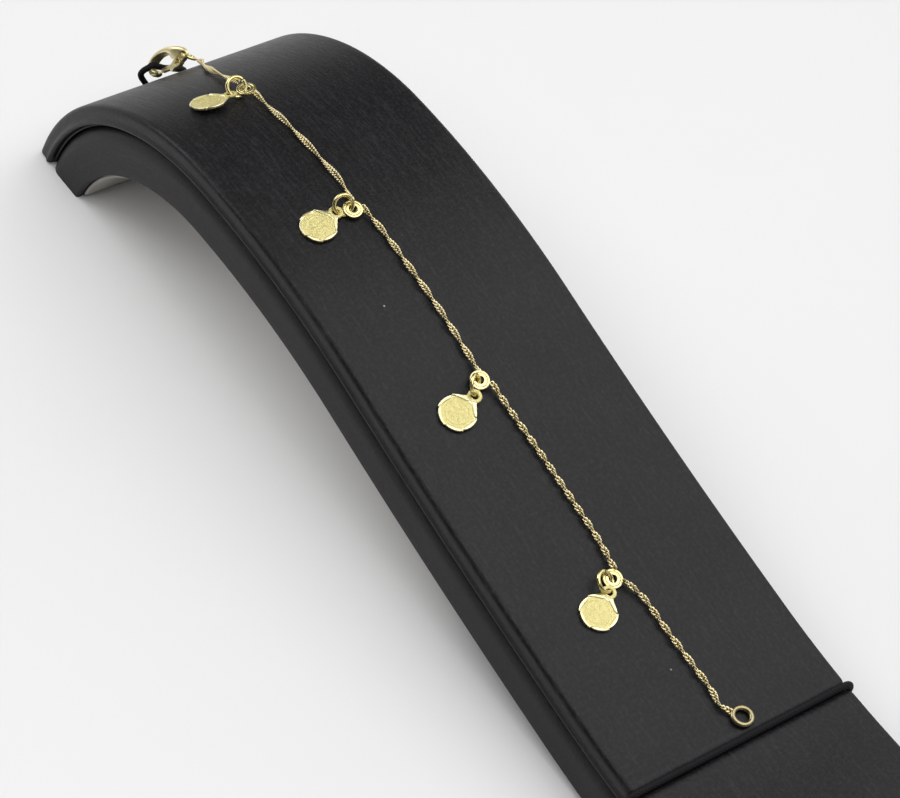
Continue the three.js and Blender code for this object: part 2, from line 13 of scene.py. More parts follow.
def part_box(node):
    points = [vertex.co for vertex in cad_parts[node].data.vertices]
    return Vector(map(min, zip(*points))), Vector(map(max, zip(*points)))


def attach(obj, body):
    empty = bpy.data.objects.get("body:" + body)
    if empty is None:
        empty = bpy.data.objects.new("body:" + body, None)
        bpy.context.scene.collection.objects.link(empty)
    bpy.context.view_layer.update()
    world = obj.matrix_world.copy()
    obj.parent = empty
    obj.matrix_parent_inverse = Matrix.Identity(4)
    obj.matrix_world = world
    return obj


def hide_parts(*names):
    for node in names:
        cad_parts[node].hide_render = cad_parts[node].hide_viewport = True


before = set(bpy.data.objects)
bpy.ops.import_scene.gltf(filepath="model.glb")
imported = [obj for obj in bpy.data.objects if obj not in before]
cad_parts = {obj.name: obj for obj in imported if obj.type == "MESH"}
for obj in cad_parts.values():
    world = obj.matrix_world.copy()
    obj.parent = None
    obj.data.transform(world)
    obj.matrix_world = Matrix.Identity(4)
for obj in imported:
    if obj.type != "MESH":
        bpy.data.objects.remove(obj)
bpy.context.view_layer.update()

log = logging.getLogger("bracelet")
Array = np.ndarray
MM = 0.001
GAP = 0.3


# ---------------------------------------------------------------- small vector tools


def unit(vector: Array) -> Array:
    """Vectors scaled to length one along their last axis."""
    vector = np.asarray(vector, float)
    return vector / np.linalg.norm(vector, axis=-1, keepdims=True)


def smooth_step(value: Array) -> Array:
    """Cubic ease from 0 to 1: 3t^2 - 2t^3 on the value clipped to 0..1."""
    t = np.clip(value, 0.0, 1.0)
    return t * t * (3.0 - 2.0 * t)


def tilted(normal: Array, towards: Array, degrees: float) -> Array:
    """The normal turned by an angle towards a perpendicular direction."""
    angle = np.radians(degrees)
    return unit(np.cos(angle) * normal + np.sin(angle) * towards)


def catmull_rom(points: Array, count: int, closed: bool = False) -> Array:
    """Points evenly spaced by length on a centripetal Catmull-Rom spline.

    Between knots P1 and P2 the curve blends the lines through four knots with weights set
    by the square root of the knots' distances, then is sampled again by arc length.

    Args:
        points: knots, one a row.
        count: number of points to return.
        closed: whether the curve joins its own start.

    Returns:
        Array of count points.
    """
    knots = np.asarray(points, float)
    if closed:
        knots = np.vstack([knots[-1], knots, knots[0], knots[1]])
    else:
        first = 2 * knots[0] - knots[1]
        last = 2 * knots[-1] - knots[-2]
        knots = np.vstack([first, knots, last])
    p0, p1, p2, p3 = knots[:-3], knots[1:-2], knots[2:-1], knots[3:]
    d1 = np.sqrt(np.linalg.norm(p1 - p0, axis=1))[:, None, None]
    d2 = np.sqrt(np.linalg.norm(p2 - p1, axis=1))[:, None, None]
    d3 = np.sqrt(np.linalg.norm(p3 - p2, axis=1))[:, None, None]
    p0, p1, p2, p3 = (p[:, None, :] for p in (p0, p1, p2, p3))
    t1, t2, t3 = d1, d1 + d2, d1 + d2 + d3
    t = t1 + np.linspace(0.0, 1.0, 24, endpoint=False)[None, :, None] * d2
    a1 = (t1 - t) / t1 * p0 + t / t1 * p1
    a2 = (t2 - t) / (t2 - t1) * p1 + (t - t1) / (t2 - t1) * p2
    a3 = (t3 - t) / (t3 - t2) * p2 + (t - t2) / (t3 - t2) * p3
    b1 = (t2 - t) / t2 * a1 + t / t2 * a2
    b2 = (t3 - t) / (t3 - t1) * a2 + (t - t1) / (t3 - t1) * a3
    curve = ((t2 - t) / (t2 - t1) * b1 + (t - t1) / (t2 - t1) * b2).reshape(-1, knots.shape[1])
    curve = np.vstack([curve, knots[-2]])
    reach = np.concatenate([[0.0], np.cumsum(np.linalg.norm(np.diff(curve, axis=0), axis=1))])
    wanted = np.linspace(0.0, reach[-1], count, endpoint=not closed)
    return np.stack([np.interp(wanted, reach, curve[:, k]) for k in range(knots.shape[1])], axis=1)


def carry(path: Array, reference: Array, section: Array, closed: bool = False) -> Array:
    """Carries a section along a path.

    At each point the tangent t is the path's slope, n the reference direction made
    perpendicular to t, and b = t x n. A section point (p, q) goes to P + p b + q n.

    Args:
        path: points of the path.
        reference: one direction, or one for each point.
        section: (k, 2) offsets, or (n, k, 2) where they change along the path.
        closed: whether the path joins its own start.

    Returns:
        Grid of points, path by section.
    """
    if closed:
        tangent = np.roll(path, -1, axis=0) - np.roll(path, 1, axis=0)
    else:
        tangent = np.gradient(path, axis=0)
    t = unit(tangent)
    reference = np.broadcast_to(reference, path.shape)
    n = unit(reference - (reference * t).sum(axis=1, keepdims=True) * t)
    b = np.cross(t, n)
    section = np.broadcast_to(section, (len(path),) + section.shape[-2:])
    return path[:, None] + section[..., :1] * b[:, None] + section[..., 1:] * n[:, None]


def circle(radius: float, sides: int) -> Array:
    """Points of a circle: (r cos a, r sin a) for evenly spaced a."""
    angle = np.arange(sides) / sides * 2 * np.pi
    return radius * np.stack([np.cos(angle), np.sin(angle)], axis=1)


# ---------------------------------------------------------------- meshes from grids


class Shell:
    """Collects closed surfaces, in millimetres, and turns them into one piece."""

    def __init__(self) -> None:
        """Starts with no surface."""
        self.points: list[Array] = []
        self.quads: list[Array] = []
        self.quad_uvs: list[Array] = []
        self.fans: list[Array] = []
        self.fan_uvs: list[Array] = []
        self.count = 0

    def grid(self, grid: Array, loop: bool = False, cap: bool = True,
             u: Optional[Array] = None, v: Optional[Array] = None) -> None:
        """Adds a surface whose rows are closed rings.

        Ring i's point j joins ring i + 1 and point j + 1, and the last point joins the
        first. Its volume's sign says whether the faces are turned round.

        Args:
            grid: (rings, points a ring, 3).
            loop: whether the last ring joins the first.
            cap: whether the end rings are closed by a fan round their middle.
            u: texture coordinate of each ring, in metres.
            v: texture coordinate of each point and of the return to the first.
        """
        rings, sides = grid.shape[:2]
        if u is None:
            steps = np.linalg.norm(np.diff(grid.mean(axis=1), axis=0), axis=1) * MM
            u = np.concatenate([[0.0], np.cumsum(steps)])
        if len(u) == rings and loop:
            u = np.append(u, u[-1] + (u[-1] - u[0]) / max(rings - 1, 1))
        if v is None:
            around = np.vstack([grid[rings // 2], grid[rings // 2][:1]])
            steps = np.linalg.norm(np.diff(around, axis=0), axis=1) * MM
            v = np.concatenate([[0.0], np.cumsum(steps)])
        i = np.arange(rings if loop else rings - 1)[:, None]
        j = np.arange(sides)[None, :]
        i1, j1 = (i + 1) % rings, (j + 1) % sides
        corners = [(i, j), (i1, j), (i1, j1), (i, j1)]
        quads = np.stack([a * sides + b for a, b in corners], axis=-1).reshape(-1, 4)
        at = [(i, j), (i + 1, j), (i + 1, j + 1), (i, j + 1)]
        uv = np.stack([np.stack(np.broadcast_arrays(u[a], v[b]), axis=-1) for a, b in at], axis=-2)
        uv = uv.reshape(-1, 4, 2)
        points = grid.reshape(-1, 3)
        fans, fan_uv = np.empty((0, 3), int), np.empty((0, 3, 2))
        if cap and not loop:
            middles = np.stack([grid[0].mean(axis=0), grid[-1].mean(axis=0)])
            base = len(points)
            points = np.vstack([points, middles])
            k = np.arange(sides)
            k1 = (k + 1) % sides
            near = np.stack([np.full(sides, base), k, k1], axis=1)
            last = (rings - 1) * sides
            far = np.stack([np.full(sides, base + 1), last + k1, last + k], axis=1)
            fans = np.vstack([near, far])
            middle = 0.5 * (v[:-1] + v[1:])
            flat = np.concatenate([np.stack([middle, v[:-1], v[1:]], axis=1),
                                   np.stack([middle, v[1:], v[:-1]], axis=1)])
            fan_uv = np.stack([np.zeros_like(flat), flat], axis=-1)
        a, b, c, d = (points[quads[:, n]] for n in range(4))
        volume = (a * np.cross(b, c)).sum() + (a * np.cross(c, d)).sum()
        if len(fans):
            e, f, g = (points[fans[:, n]] for n in range(3))
            volume += (e * np.cross(f, g)).sum()
        if volume < 0:
            quads, uv = quads[:, ::-1], uv[:, ::-1]
            fans, fan_uv = fans[:, ::-1], fan_uv[:, ::-1]
        self.points.append(points)
        self.quads.append(quads + self.count)
        self.quad_uvs.append(uv)
        self.fans.append(fans + self.count)
        self.fan_uvs.append(fan_uv)
        self.count += len(points)

    def repeat(self, grid: Array, origins: Array, axes: Array) -> None:
        """Adds one looped grid many times.

        Point p of copy k is origin_k + p . axes_k, so the copies come from one product of
        arrays.

        Args:
            grid: (rings, sides, 3) of a shape that loops both ways.
            origins: (copies, 3).
            axes: (copies, 3, 3), rows being the copy's x, y and z directions.
        """
        rings, sides = grid.shape[:2]
        one = Shell()
        one.grid(grid, loop=True)
        copies = np.einsum("pc,kcd->kpd", one.points[0], axes) + origins[:, None]
        offsets = (np.arange(len(origins)) * rings * sides)[:, None, None]
        step = -1 if np.linalg.det(axes[0]) < 0 else 1
        quads = (one.quads[0][None, :, ::step] + offsets).reshape(-1, 4)
        self.points.append(copies.reshape(-1, 3))
        self.quads.append(quads + self.count)
        self.quad_uvs.append(np.tile(one.quad_uvs[0][:, ::step], (len(origins), 1, 1)))
        self.count += len(origins) * rings * sides

    def piece(self, name: str, material: bpy.types.Material, sharp: float = 40.0,
              close: bool = False) -> bpy.types.Object:
        """Makes the piece, its place in its mesh.

        Args:
            name: name of the object.
            material: its finish.
            sharp: edges that bend more than this many degrees stay sharp.
            close: whether doubled points, such as poles, are merged.

        Returns:
            The new object.
        """
        points = np.vstack(self.points) * MM
        fans = np.vstack(self.fans) if self.fans else np.empty((0, 3), int)
        faces = np.vstack(self.quads).tolist() + fans.tolist()
        mesh = bpy.data.meshes.new(name)
        mesh.from_pydata(points.tolist(), [], faces)
        layer = mesh.uv_layers.new(name="UVMap")
        uv = [np.concatenate(self.quad_uvs).reshape(-1, 2)]
        if len(fans):
            uv.append(np.concatenate(self.fan_uvs).reshape(-1, 2))
        layer.data.foreach_set("uv", np.concatenate(uv).astype(np.float32).ravel())
        if close:
            merge_doubles(mesh)
        mesh.shade_smooth()
        mesh.set_sharp_from_angle(angle=np.radians(sharp))
        mesh.materials.append(material)
        piece = bpy.data.objects.new(name, mesh)
        bpy.context.scene.collection.objects.link(piece)
        return piece


def merge_doubles(mesh: bpy.types.Mesh) -> None:
    """Merges points that lie together and drops the faces that this empties."""
    work = bmesh.new()
    work.from_mesh(mesh)
    bmesh.ops.remove_doubles(work, verts=work.verts, dist=1e-7)
    work.to_mesh(mesh)
    work.free()


def settle(piece: bpy.types.Object, body: str, slot: str, *nodes: str) -> bpy.types.Object:
    """Rides a piece on its body and hides the CAD nodes that it stands for."""
    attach(piece, body)
    if nodes:
        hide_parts(*nodes)
    faces = len(piece.data.polygons)
    log.info("%s: %d faces on %s", piece.name, faces, body)
    return piece


# ---------------------------------------------------------------- node groups


class Texture(Enum):
    """Where a pattern takes its coordinates from."""

    SURFACE = "UV"
    SPACE = "Object"


class Nodes:
    """Thin helper that adds and links the nodes of one tree."""

    def __init__(self, tree: bpy.types.NodeTree) -> None:
        """Keeps the tree."""
        self.tree = tree

    def add(self, kind: str, inputs: Optional[dict] = None, **settings: object) -> bpy.types.Node:
        """Adds a node.

        Args:
            kind: node type, such as ShaderNodeMath.
            inputs: socket name or number to a value or to another node's output.
            settings: attributes of the node.

        Returns:
            The node.
        """
        node = self.tree.nodes.new(kind)
        for key, value in settings.items():
            setattr(node, key, value)
        for key, value in (inputs or {}).items():
            if isinstance(value, bpy.types.NodeSocket):
                self.tree.links.new(value, node.inputs[key])
            else:
                node.inputs[key].default_value = value
        return node

    def math(self, operation: str, a: object, b: object = 0.0,
             clamp: bool = False) -> bpy.types.NodeSocket:
        """Output of a Math node."""
        return self.add("ShaderNodeMath", {0: a, 1: b}, operation=operation,
                        use_clamp=clamp).outputs[0]

    def mix(self, factor: object, a: object, b: object, blend: str = "MIX") -> bpy.types.NodeSocket:
        """Colour output of a Mix node."""
        node = self.add("ShaderNodeMix", {0: factor, 6: a, 7: b}, data_type="RGBA",
                        blend_type=blend)
        return node.outputs[2]

    def spread(self, value: object, low: float, high: float, to_low: float = 0.0,
               to_high: float = 1.0) -> bpy.types.NodeSocket:
        """Output of a Map Range node from low..high to to_low..to_high, clamped."""
        return self.add("ShaderNodeMapRange",
                        {0: value, 1: low, 2: high, 3: to_low, 4: to_high}).outputs[0]

    def noise(self, vector: object, scale: object, detail: float = 3.0,
              rough: float = 0.55) -> bpy.types.NodeSocket:
        """Value of a Noise texture."""
        inputs = {"Vector": vector, "Scale": scale, "Detail": detail, "Roughness": rough}
        return self.add("ShaderNodeTexNoise", inputs).outputs["Fac"]

    def coordinates(self, source: Texture) -> bpy.types.NodeSocket:
        """UV or Object coordinates."""
        return self.add("ShaderNodeTexCoord").outputs[source.value]

    def stretched(self, vector: object, scale: Sequence[float]) -> bpy.types.NodeSocket:
        """A vector scaled along each axis by a Mapping node."""
        return self.add("ShaderNodeMapping", {"Vector": vector, "Scale": tuple(scale)}).outputs[0]


def node_group(name: str, inputs: dict, outputs: dict,
               build: Callable[[Nodes, dict, dict], None]) -> bpy.types.NodeTree:
    """Builds a shader node group once.

    Args:
        name: name of the group.
        inputs: input name to its default value.
        outputs: output name to its socket type.
        build: fills the group, given its helper, input sockets and output sockets.

    Returns:
        The group, made now or earlier.
    """
    if name in bpy.data.node_groups:
        return bpy.data.node_groups[name]
    tree = bpy.data.node_groups.new(name, "ShaderNodeTree")
    for key, value in inputs.items():
        kind = "NodeSocketVector" if value is None else "NodeSocketFloat"
        socket = tree.interface.new_socket(key, in_out="INPUT", socket_type=kind)
        if value is not None:
            socket.default_value = value
    for key, kind in outputs.items():
        tree.interface.new_socket(key, in_out="OUTPUT", socket_type=kind)
    source = tree.nodes.new("NodeGroupInput")
    target = tree.nodes.new("NodeGroupOutput")
    build(Nodes(tree), {s.name: s for s in source.outputs if s.name},
          {s.name: s for s in target.inputs if s.name})
    return tree


def brushed_grain() -> bpy.types.NodeTree:
    """Group: fine lengthwise brushing with a finer pebble, from coordinates in metres.

    Streaks are noise stretched along the first axis, and the pebble is the distance to the
    nearest cell point.
    """

    def build(n: Nodes, given: dict, out: dict) -> None:
        """Fills the group."""
        streaks = n.noise(n.stretched(given["Vector"], (300.0, 2300.0, 1.0)), 1.0, 2.0, 0.5)
        broad = n.noise(n.stretched(given["Vector"], (50.0, 800.0, 1.0)), 1.0, 3.0, 0.5)
        cells = n.add("ShaderNodeTexVoronoi",
                      {"Vector": n.stretched(given["Vector"], (2400.0, 3200.0, 1.0)),
                                               "Scale": 1.0}).outputs["Distance"]
        both = n.math("ADD", n.math("MULTIPLY", streaks, 0.6), n.math("MULTIPLY", broad, 0.4))
        height = n.math("ADD", both, n.math("MULTIPLY", cells, given["Pebble"]))
        n.tree.links.new(both, out["Streaks"])
        n.tree.links.new(height, out["Height"])

    return node_group("brushed_grain", {"Vector": None, "Pebble": 0.25},
                      {"Streaks": "NodeSocketFloat", "Height": "NodeSocketFloat"}, build)


def dust_specks() -> bpy.types.NodeTree:
    """Group: sparse pale specks, where a cell's own random value passes a limit near its point."""

    def build(n: Nodes, given: dict, out: dict) -> None:
        """Fills the group."""
        cells = n.add("ShaderNodeTexVoronoi",
                      {"Vector": given["Vector"], "Scale": given["Density"]})
        chosen = n.math("GREATER_THAN",
                        n.add("ShaderNodeSeparateColor", {0: cells.outputs["Color"]}).outputs[0],
                        given["Limit"])
        near = n.spread(cells.outputs["Distance"], 0.03, 0.07, 1.0, 0.0)
        n.tree.links.new(n.math("MULTIPLY", chosen, near), out["Mask"])

    return node_group("dust_specks", {"Vector": None, "Density": 260.0, "Limit": 0.955},
                      {"Mask": "NodeSocketFloat"}, build)


def soft_mottle() -> bpy.types.NodeTree:
    """Group: slow and fast noise added, for changes of colour and gloss across a surface."""

    def build(n: Nodes, given: dict, out: dict) -> None:
        """Fills the group."""
        slow = n.noise(given["Vector"], given["Scale"], 2.0)
        fast = n.noise(given["Vector"], n.math("MULTIPLY", given["Scale"], 7.0), 4.0, 0.65)
        mixed = n.math("ADD", n.math("MULTIPLY", slow, 0.65), n.math("MULTIPLY", fast, 0.35))
        n.tree.links.new(n.spread(mixed, 0.32, 0.68), out["Value"])

    return node_group("soft_mottle", {"Vector": None, "Scale": 300.0}, {"Value": "NodeSocketFloat"},
                      build)


# ---------------------------------------------------------------- finishes


def start_material(name: str) -> tuple[bpy.types.Material, Nodes, bpy.types.Node]:
    """A new node material, its helper and its Principled shader."""
    material = bpy.data.materials.new(name)
    material.use_nodes = True
    helper = Nodes(material.node_tree)
    return material, helper, material.node_tree.nodes["Principled BSDF"]


def rgb(colour: Sequence[float]) -> tuple[float, float, float, float]:
    """A colour with full alpha."""
    return (colour[0], colour[1], colour[2], 1.0)


@dataclass(frozen=True)
class Leatherette:
    """Charcoal leatherette with fine brushing along its length."""

    name: str = "charcoal_leatherette"
    dark: tuple = (0.0040, 0.0039, 0.0044)
    light: tuple = (0.0225, 0.0218, 0.0246)
    speck: tuple = (0.30, 0.29, 0.28)
    roughness: tuple = (0.30, 0.46)
    grain: float = 0.5
    pebble: float = 0.25
    depth: float = 0.00016
    gloss: float = 0.23
    specks: bool = True

    def material(self) -> bpy.types.Material:
        """Streaks drive colour, gloss and bump, and dust lies on top."""
        material, n, shader = start_material(self.name)
        surface = n.coordinates(Texture.SURFACE)
        grain = n.add("ShaderNodeGroup", node_tree=brushed_grain())
        n.tree.links.new(surface, grain.inputs["Vector"])
        grain.inputs["Pebble"].default_value = self.pebble
        mottle = n.add("ShaderNodeGroup", node_tree=soft_mottle())
        n.tree.links.new(surface, mottle.inputs["Vector"])
        mottle.inputs["Scale"].default_value = 90.0
        streaks = n.spread(grain.outputs["Streaks"], 0.5, 0.68)
        pebble = n.spread(n.noise(surface, 1400.0, 2.0, 0.5), 0.45, 0.75)
        soft = n.math("ADD", n.math("MULTIPLY", pebble, 0.42),
                      n.math("MULTIPLY", mottle.outputs["Value"], 0.16))
        tone = n.math("ADD", n.math("MULTIPLY", streaks, 0.42), soft, clamp=True)
        colour = n.mix(tone, rgb(self.dark), rgb(self.light))
        if self.specks:
            dust = n.add("ShaderNodeGroup", node_tree=dust_specks())
            n.tree.links.new(surface, dust.inputs["Vector"])
            colour = n.mix(dust.outputs["Mask"], colour, rgb(self.speck))
        n.tree.links.new(colour, shader.inputs["Base Color"])
        rough = n.spread(grain.outputs["Height"], 0.3, 0.8, *self.roughness)
        n.tree.links.new(rough, shader.inputs["Roughness"])
        bump = n.add("ShaderNodeBump", {"Strength": self.grain, "Distance": self.depth,
                                        "Height": grain.outputs["Height"]})
        n.tree.links.new(bump.outputs[0], shader.inputs["Normal"])
        shader.inputs["Specular IOR Level"].default_value = self.gloss
        return material


@dataclass(frozen=True)
class Gold:
    """Gold-plated metal: warm tint that shifts slowly, fine polish marks and a little relief."""

    name: str
    warm: tuple
    pale: tuple
    roughness: tuple = (0.16, 0.30)
    mark_scale: float = 2600.0
    mark_depth: float = 0.000012
    marks: float = 0.25

    def material(self) -> bpy.types.Material:
        """Mottle drives colour and gloss, and fast noise the polish marks."""
        material, n, shader = start_material(self.name)
        space = n.coordinates(Texture.SPACE)
        mottle = n.add("ShaderNodeGroup", node_tree=soft_mottle())
        n.tree.links.new(space, mottle.inputs["Vector"])
        mottle.inputs["Scale"].default_value = 420.0
        colour = n.mix(mottle.outputs["Value"], rgb(self.warm), rgb(self.pale))
        n.tree.links.new(colour, shader.inputs["Base Color"])
        rough = n.spread(mottle.outputs["Value"], 0.0, 1.0, *self.roughness)
        n.tree.links.new(rough, shader.inputs["Roughness"])
        marks = n.noise(space, self.mark_scale, 4.0, 0.7)
        bump = n.add("ShaderNodeBump",
                     {"Strength": self.marks, "Distance": self.mark_depth, "Height": marks})
        n.tree.links.new(bump.outputs[0], shader.inputs["Normal"])
        shader.inputs["Metallic"].default_value = 1.0
        return material


@dataclass(frozen=True)
class StampedGold:
    """Matte stamped coin face inside a polished rim, told apart by the piece's own map."""

    name: str = "coin_gold"
    face: tuple = (0.97, 0.90, 0.45)
    rim: tuple = (0.95, 0.88, 0.52)
    shade: tuple = (0.56, 0.44, 0.14)
    face_edge: float = 0.86
    roughness: tuple = (0.24, 0.52)

    def material(self) -> bpy.types.Material:
        """The first map coordinate is the share of the radius, which separates face and rim."""
        material, n, shader = start_material(self.name)
        surface = n.coordinates(Texture.SURFACE)
        space = n.coordinates(Texture.SPACE)
        share = n.add("ShaderNodeSeparateXYZ", {0: surface}).outputs[0]
        inside = n.spread(share, self.face_edge - 0.05, self.face_edge + 0.03, 1.0, 0.0)
        grain = n.noise(space, 5200.0, 5.0, 0.7)
        mottle = n.add("ShaderNodeGroup", node_tree=soft_mottle())
        n.tree.links.new(space, mottle.inputs["Vector"])
        mottle.inputs["Scale"].default_value = 900.0
        # Pits are where the grain is low. Pulling them towards the shade colour is painted shade in
        # the stamped recesses, combined with a random tone mottle.
        pits = n.spread(grain, 0.38, 0.56, 1.0, 0.0)
        mottle_and_pit_shade = n.math("MAXIMUM", n.math("MULTIPLY", mottle.outputs["Value"], 0.3),
                      n.math("MULTIPLY", pits, 0.65))
        stamped = n.mix(mottle_and_pit_shade, rgb(self.face), rgb(self.shade))
        colour = n.mix(inside, rgb(self.rim), stamped)
        n.tree.links.new(colour, shader.inputs["Base Color"])
        low, high = self.roughness
        rough = n.math("ADD", n.spread(inside, 0.0, 1.0, low, high),
                       n.math("MULTIPLY", grain, 0.08))
        n.tree.links.new(rough, shader.inputs["Roughness"])
        height = n.math("MULTIPLY", grain, n.spread(inside, 0.0, 1.0, 0.15, 1.0))
        bump = n.add("ShaderNodeBump", {"Strength": 1.0, "Distance": 0.00009, "Height": height})
        n.tree.links.new(bump.outputs[0], shader.inputs["Normal"])
        shader.inputs["Metallic"].default_value = 1.0
        return material


@dataclass(frozen=True)
class BraidedElastic:
    """Nearly black braided elastic with a soft sheen."""

    name: str = "black_elastic"
    dark: tuple = (0.0035, 0.0035, 0.0042)
    light: tuple = (0.014, 0.014, 0.016)

    def material(self) -> bpy.types.Material:
        """Two crossing waves on the piece's own map make the braid."""
        material, n, shader = start_material(self.name)
        surface = n.coordinates(Texture.SURFACE)
        parts = n.add("ShaderNodeSeparateXYZ", {0: surface})
        along = n.math("MULTIPLY", parts.outputs[0], 9000.0)
        around = n.math("MULTIPLY", parts.outputs[1], 9000.0)
        one = n.math("SINE", n.math("ADD", along, around))
        two = n.math("SINE", n.math("SUBTRACT", along, around))
        braid = n.spread(n.math("MAXIMUM", one, two), -0.6, 1.0)
        fibres = n.noise(n.stretched(surface, (3000.0, 9000.0, 1.0)), 1.0, 4.0, 0.7)
        height = n.math("ADD", braid, n.math("MULTIPLY", fibres, 0.5))
        colour = n.mix(n.math("MULTIPLY", braid, fibres), rgb(self.dark), rgb(self.light))
        n.tree.links.new(colour, shader.inputs["Base Color"])
        n.tree.links.new(n.spread(fibres, 0.3, 0.7, 0.62, 0.85), shader.inputs["Roughness"])
        bump = n.add("ShaderNodeBump", {"Strength": 0.5, "Distance": 0.00008, "Height": height})
        n.tree.links.new(bump.outputs[0], shader.inputs["Normal"])
        shader.inputs["Specular IOR Level"].default_value = 0.2
        return material


@dataclass(frozen=True)
class LiningCard:
    """Pale grey-beige covered card."""

    name: str = "lining_card"
    dark: tuple = (0.30, 0.29, 0.265)
    light: tuple = (0.40, 0.385, 0.355)

    def material(self) -> bpy.types.Material:
        """Fibres from noise stretched both ways over a slow mottle."""
        material, n, shader = start_material(self.name)
        surface = n.coordinates(Texture.SURFACE)
        one = n.noise(n.stretched(surface, (3600.0, 700.0, 1.0)), 1.0, 4.0, 0.6)
        two = n.noise(n.stretched(surface, (700.0, 3600.0, 1.0)), 1.0, 4.0, 0.6)
        fibres = n.math("MULTIPLY", n.math("ADD", one, two), 0.5)
        mottle = n.add("ShaderNodeGroup", node_tree=soft_mottle())
        n.tree.links.new(surface, mottle.inputs["Vector"])
        mottle.inputs["Scale"].default_value = 60.0
        tone = n.math("ADD", n.math("MULTIPLY", mottle.outputs["Value"], 0.5),
                      n.math("MULTIPLY", fibres, 0.5))
        n.tree.links.new(n.mix(tone, rgb(self.dark), rgb(self.light)), shader.inputs["Base Color"])
        n.tree.links.new(n.spread(fibres, 0.35, 0.65, 0.78, 0.92), shader.inputs["Roughness"])
        bump = n.add("ShaderNodeBump", {"Strength": 0.4, "Distance": 0.00008, "Height": fibres})
        n.tree.links.new(bump.outputs[0], shader.inputs["Normal"])
        return material


class Finishes:
    """Every finish of the object, made once."""

    def __init__(self) -> None:
        """Builds the materials."""
        self.pad = Leatherette().material()
        self.core = Leatherette("core_leatherette", (0.0080, 0.0076, 0.0089),
                                (0.0240, 0.0228, 0.0262),
                                roughness=(0.42, 0.56), grain=0.25, specks=False).material()
        self.lining = LiningCard().material()
        self.elastic = BraidedElastic().material()
        self.chain = Gold("champagne_gold", (0.96, 0.80, 0.42), (1.0, 0.90, 0.58),
                          (0.30, 0.42)).material()
        self.ring = Gold("ring_gold", (0.82, 0.68, 0.26), (0.92, 0.83, 0.44)).material()
        self.clasp = Gold("clasp_gold", (0.94, 0.80, 0.40), (1.0, 0.92, 0.60),
                          (0.32, 0.48)).material()
        # Painted shade: the end ring gets a much darker copy of the ring gold.
        self.end = Gold("end_gold", (0.36, 0.30, 0.15), (0.47, 0.41, 0.25), (0.24, 0.38)).material()
        self.coin = StampedGold().material()


# ---------------------------------------------------------------- the ramp


@dataclass
class RampLine:
    """Top line of the ramp: tangent arcs in the Y-Z plane from the far foot to the near toe.

    A place on the ramp is (x across, distance along the line, rise above it), in millimetres.
    """

    far_heading: float = 76.0
    lengths: tuple = (32.8, 36.1, 48.9, 70.4, 28.3, 14.0)
    headings: tuple = (36.7, 0.9, -15.3, -10.8, 0.0, 0.0)
    thickness: float = 13.6
    shift: Array = field(init=False)
    at: Array = field(init=False)
    start: Array = field(init=False)
    bend: Array = field(init=False)
    corner: Array = field(init=False)

    def __post_init__(self) -> None:
        """Chains the arcs, then moves the toe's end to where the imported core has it."""
        lengths = np.array(self.lengths)
        self.at = np.concatenate([[0.0], np.cumsum(lengths)])
        self.start = np.radians([self.far_heading, *self.headings])
        self.bend = np.append(np.diff(self.start) / lengths, 0.0)
        y = np.zeros(len(self.at))
        z = np.zeros(len(self.at))
        for i, length in enumerate(lengths):
            dy, dz = self.step(self.start[i], self.bend[i], length)
            y[i + 1], z[i + 1] = y[i] + dy, z[i] + dz
        self.corner = np.stack([y, z], axis=1)
        low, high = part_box("stand_core")
        self.corner += [low[1] / MM - y[-1], low[2] / MM + self.thickness - z[-1]]
        self.shift = np.array([(low[0] + high[0]) / 2 / MM, 0.0, 0.0])

    @staticmethod
    def step(start: Array, bend: Array, distance: Array) -> tuple[Array, Array]:
        """Change of y and z after a distance on an arc.

        With heading h = start + bend d, y falls by (sin h - sin start) / bend and z by
        (cos h - cos start) / bend; on a straight they are cos and sin times the distance.
        """
        heading = start + bend * distance
        flat = np.abs(bend) < 1e-9
        safe = np.where(flat, 1.0, bend)
        dy = np.where(flat, -np.cos(start) * distance, -(np.sin(heading) - np.sin(start)) / safe)
        dz = np.where(flat, np.sin(start) * distance, -(np.cos(heading) - np.cos(start)) / safe)
        return dy, dz

    @property
    def length(self) -> float:
        """Length of the whole line."""
        return float(self.at[-1])

    def line(self, along: Array) -> tuple[Array, Array, Array]:
        """The line's y, z and heading at distances along it, straight on beyond its ends."""
        along = np.asarray(along, float)
        i = np.clip(np.searchsorted(self.at, along, side="right") - 1, 0, len(self.at) - 1)
        bend = np.where(along < 0, 0.0, self.bend[i])
        distance = along - self.at[i]
        dy, dz = self.step(self.start[i], bend, distance)
        return self.corner[i, 0] + dy, self.corner[i, 1] + dz, self.start[i] + bend * distance

    def frame(self, along: Array) -> tuple[Array, Array, Array]:
        """Unit vectors across the ramp, towards the toe and out of the pad."""
        heading = self.line(along)[2]
        zero, one = np.zeros_like(heading), np.ones_like(heading)
        across = np.stack([one, zero, zero], axis=-1)
        toe = np.stack([zero, -np.cos(heading), np.sin(heading)], axis=-1)
        out = np.stack([zero, np.sin(heading), np.cos(heading)], axis=-1)
        return across, toe, out

    def on(self, x: Array, along: Array, rise: Array) -> Array:
        """Points at x across, a distance along and a rise above the line."""
        x, along, rise = np.broadcast_arrays(np.asarray(x, float), along, rise)
        y, z, _ = self.line(along)
        base = np.stack([x, y, z], axis=-1) + self.shift
        return base + rise[..., None] * self.frame(along)[2]

    def route(self, rows: Sequence[Sequence[float]]) -> Array:
        """Points for rows of (x, along, rise)."""
        return self.on(*np.array(rows, float).T)

    def direction(self, along: float, turn: float) -> Array:
        """Direction in the plane of the pad, turned from -X towards the toe."""
        across, toe, _ = self.frame(along)
        angle = np.radians(turn)
        return -np.cos(angle) * across + np.sin(angle) * toe


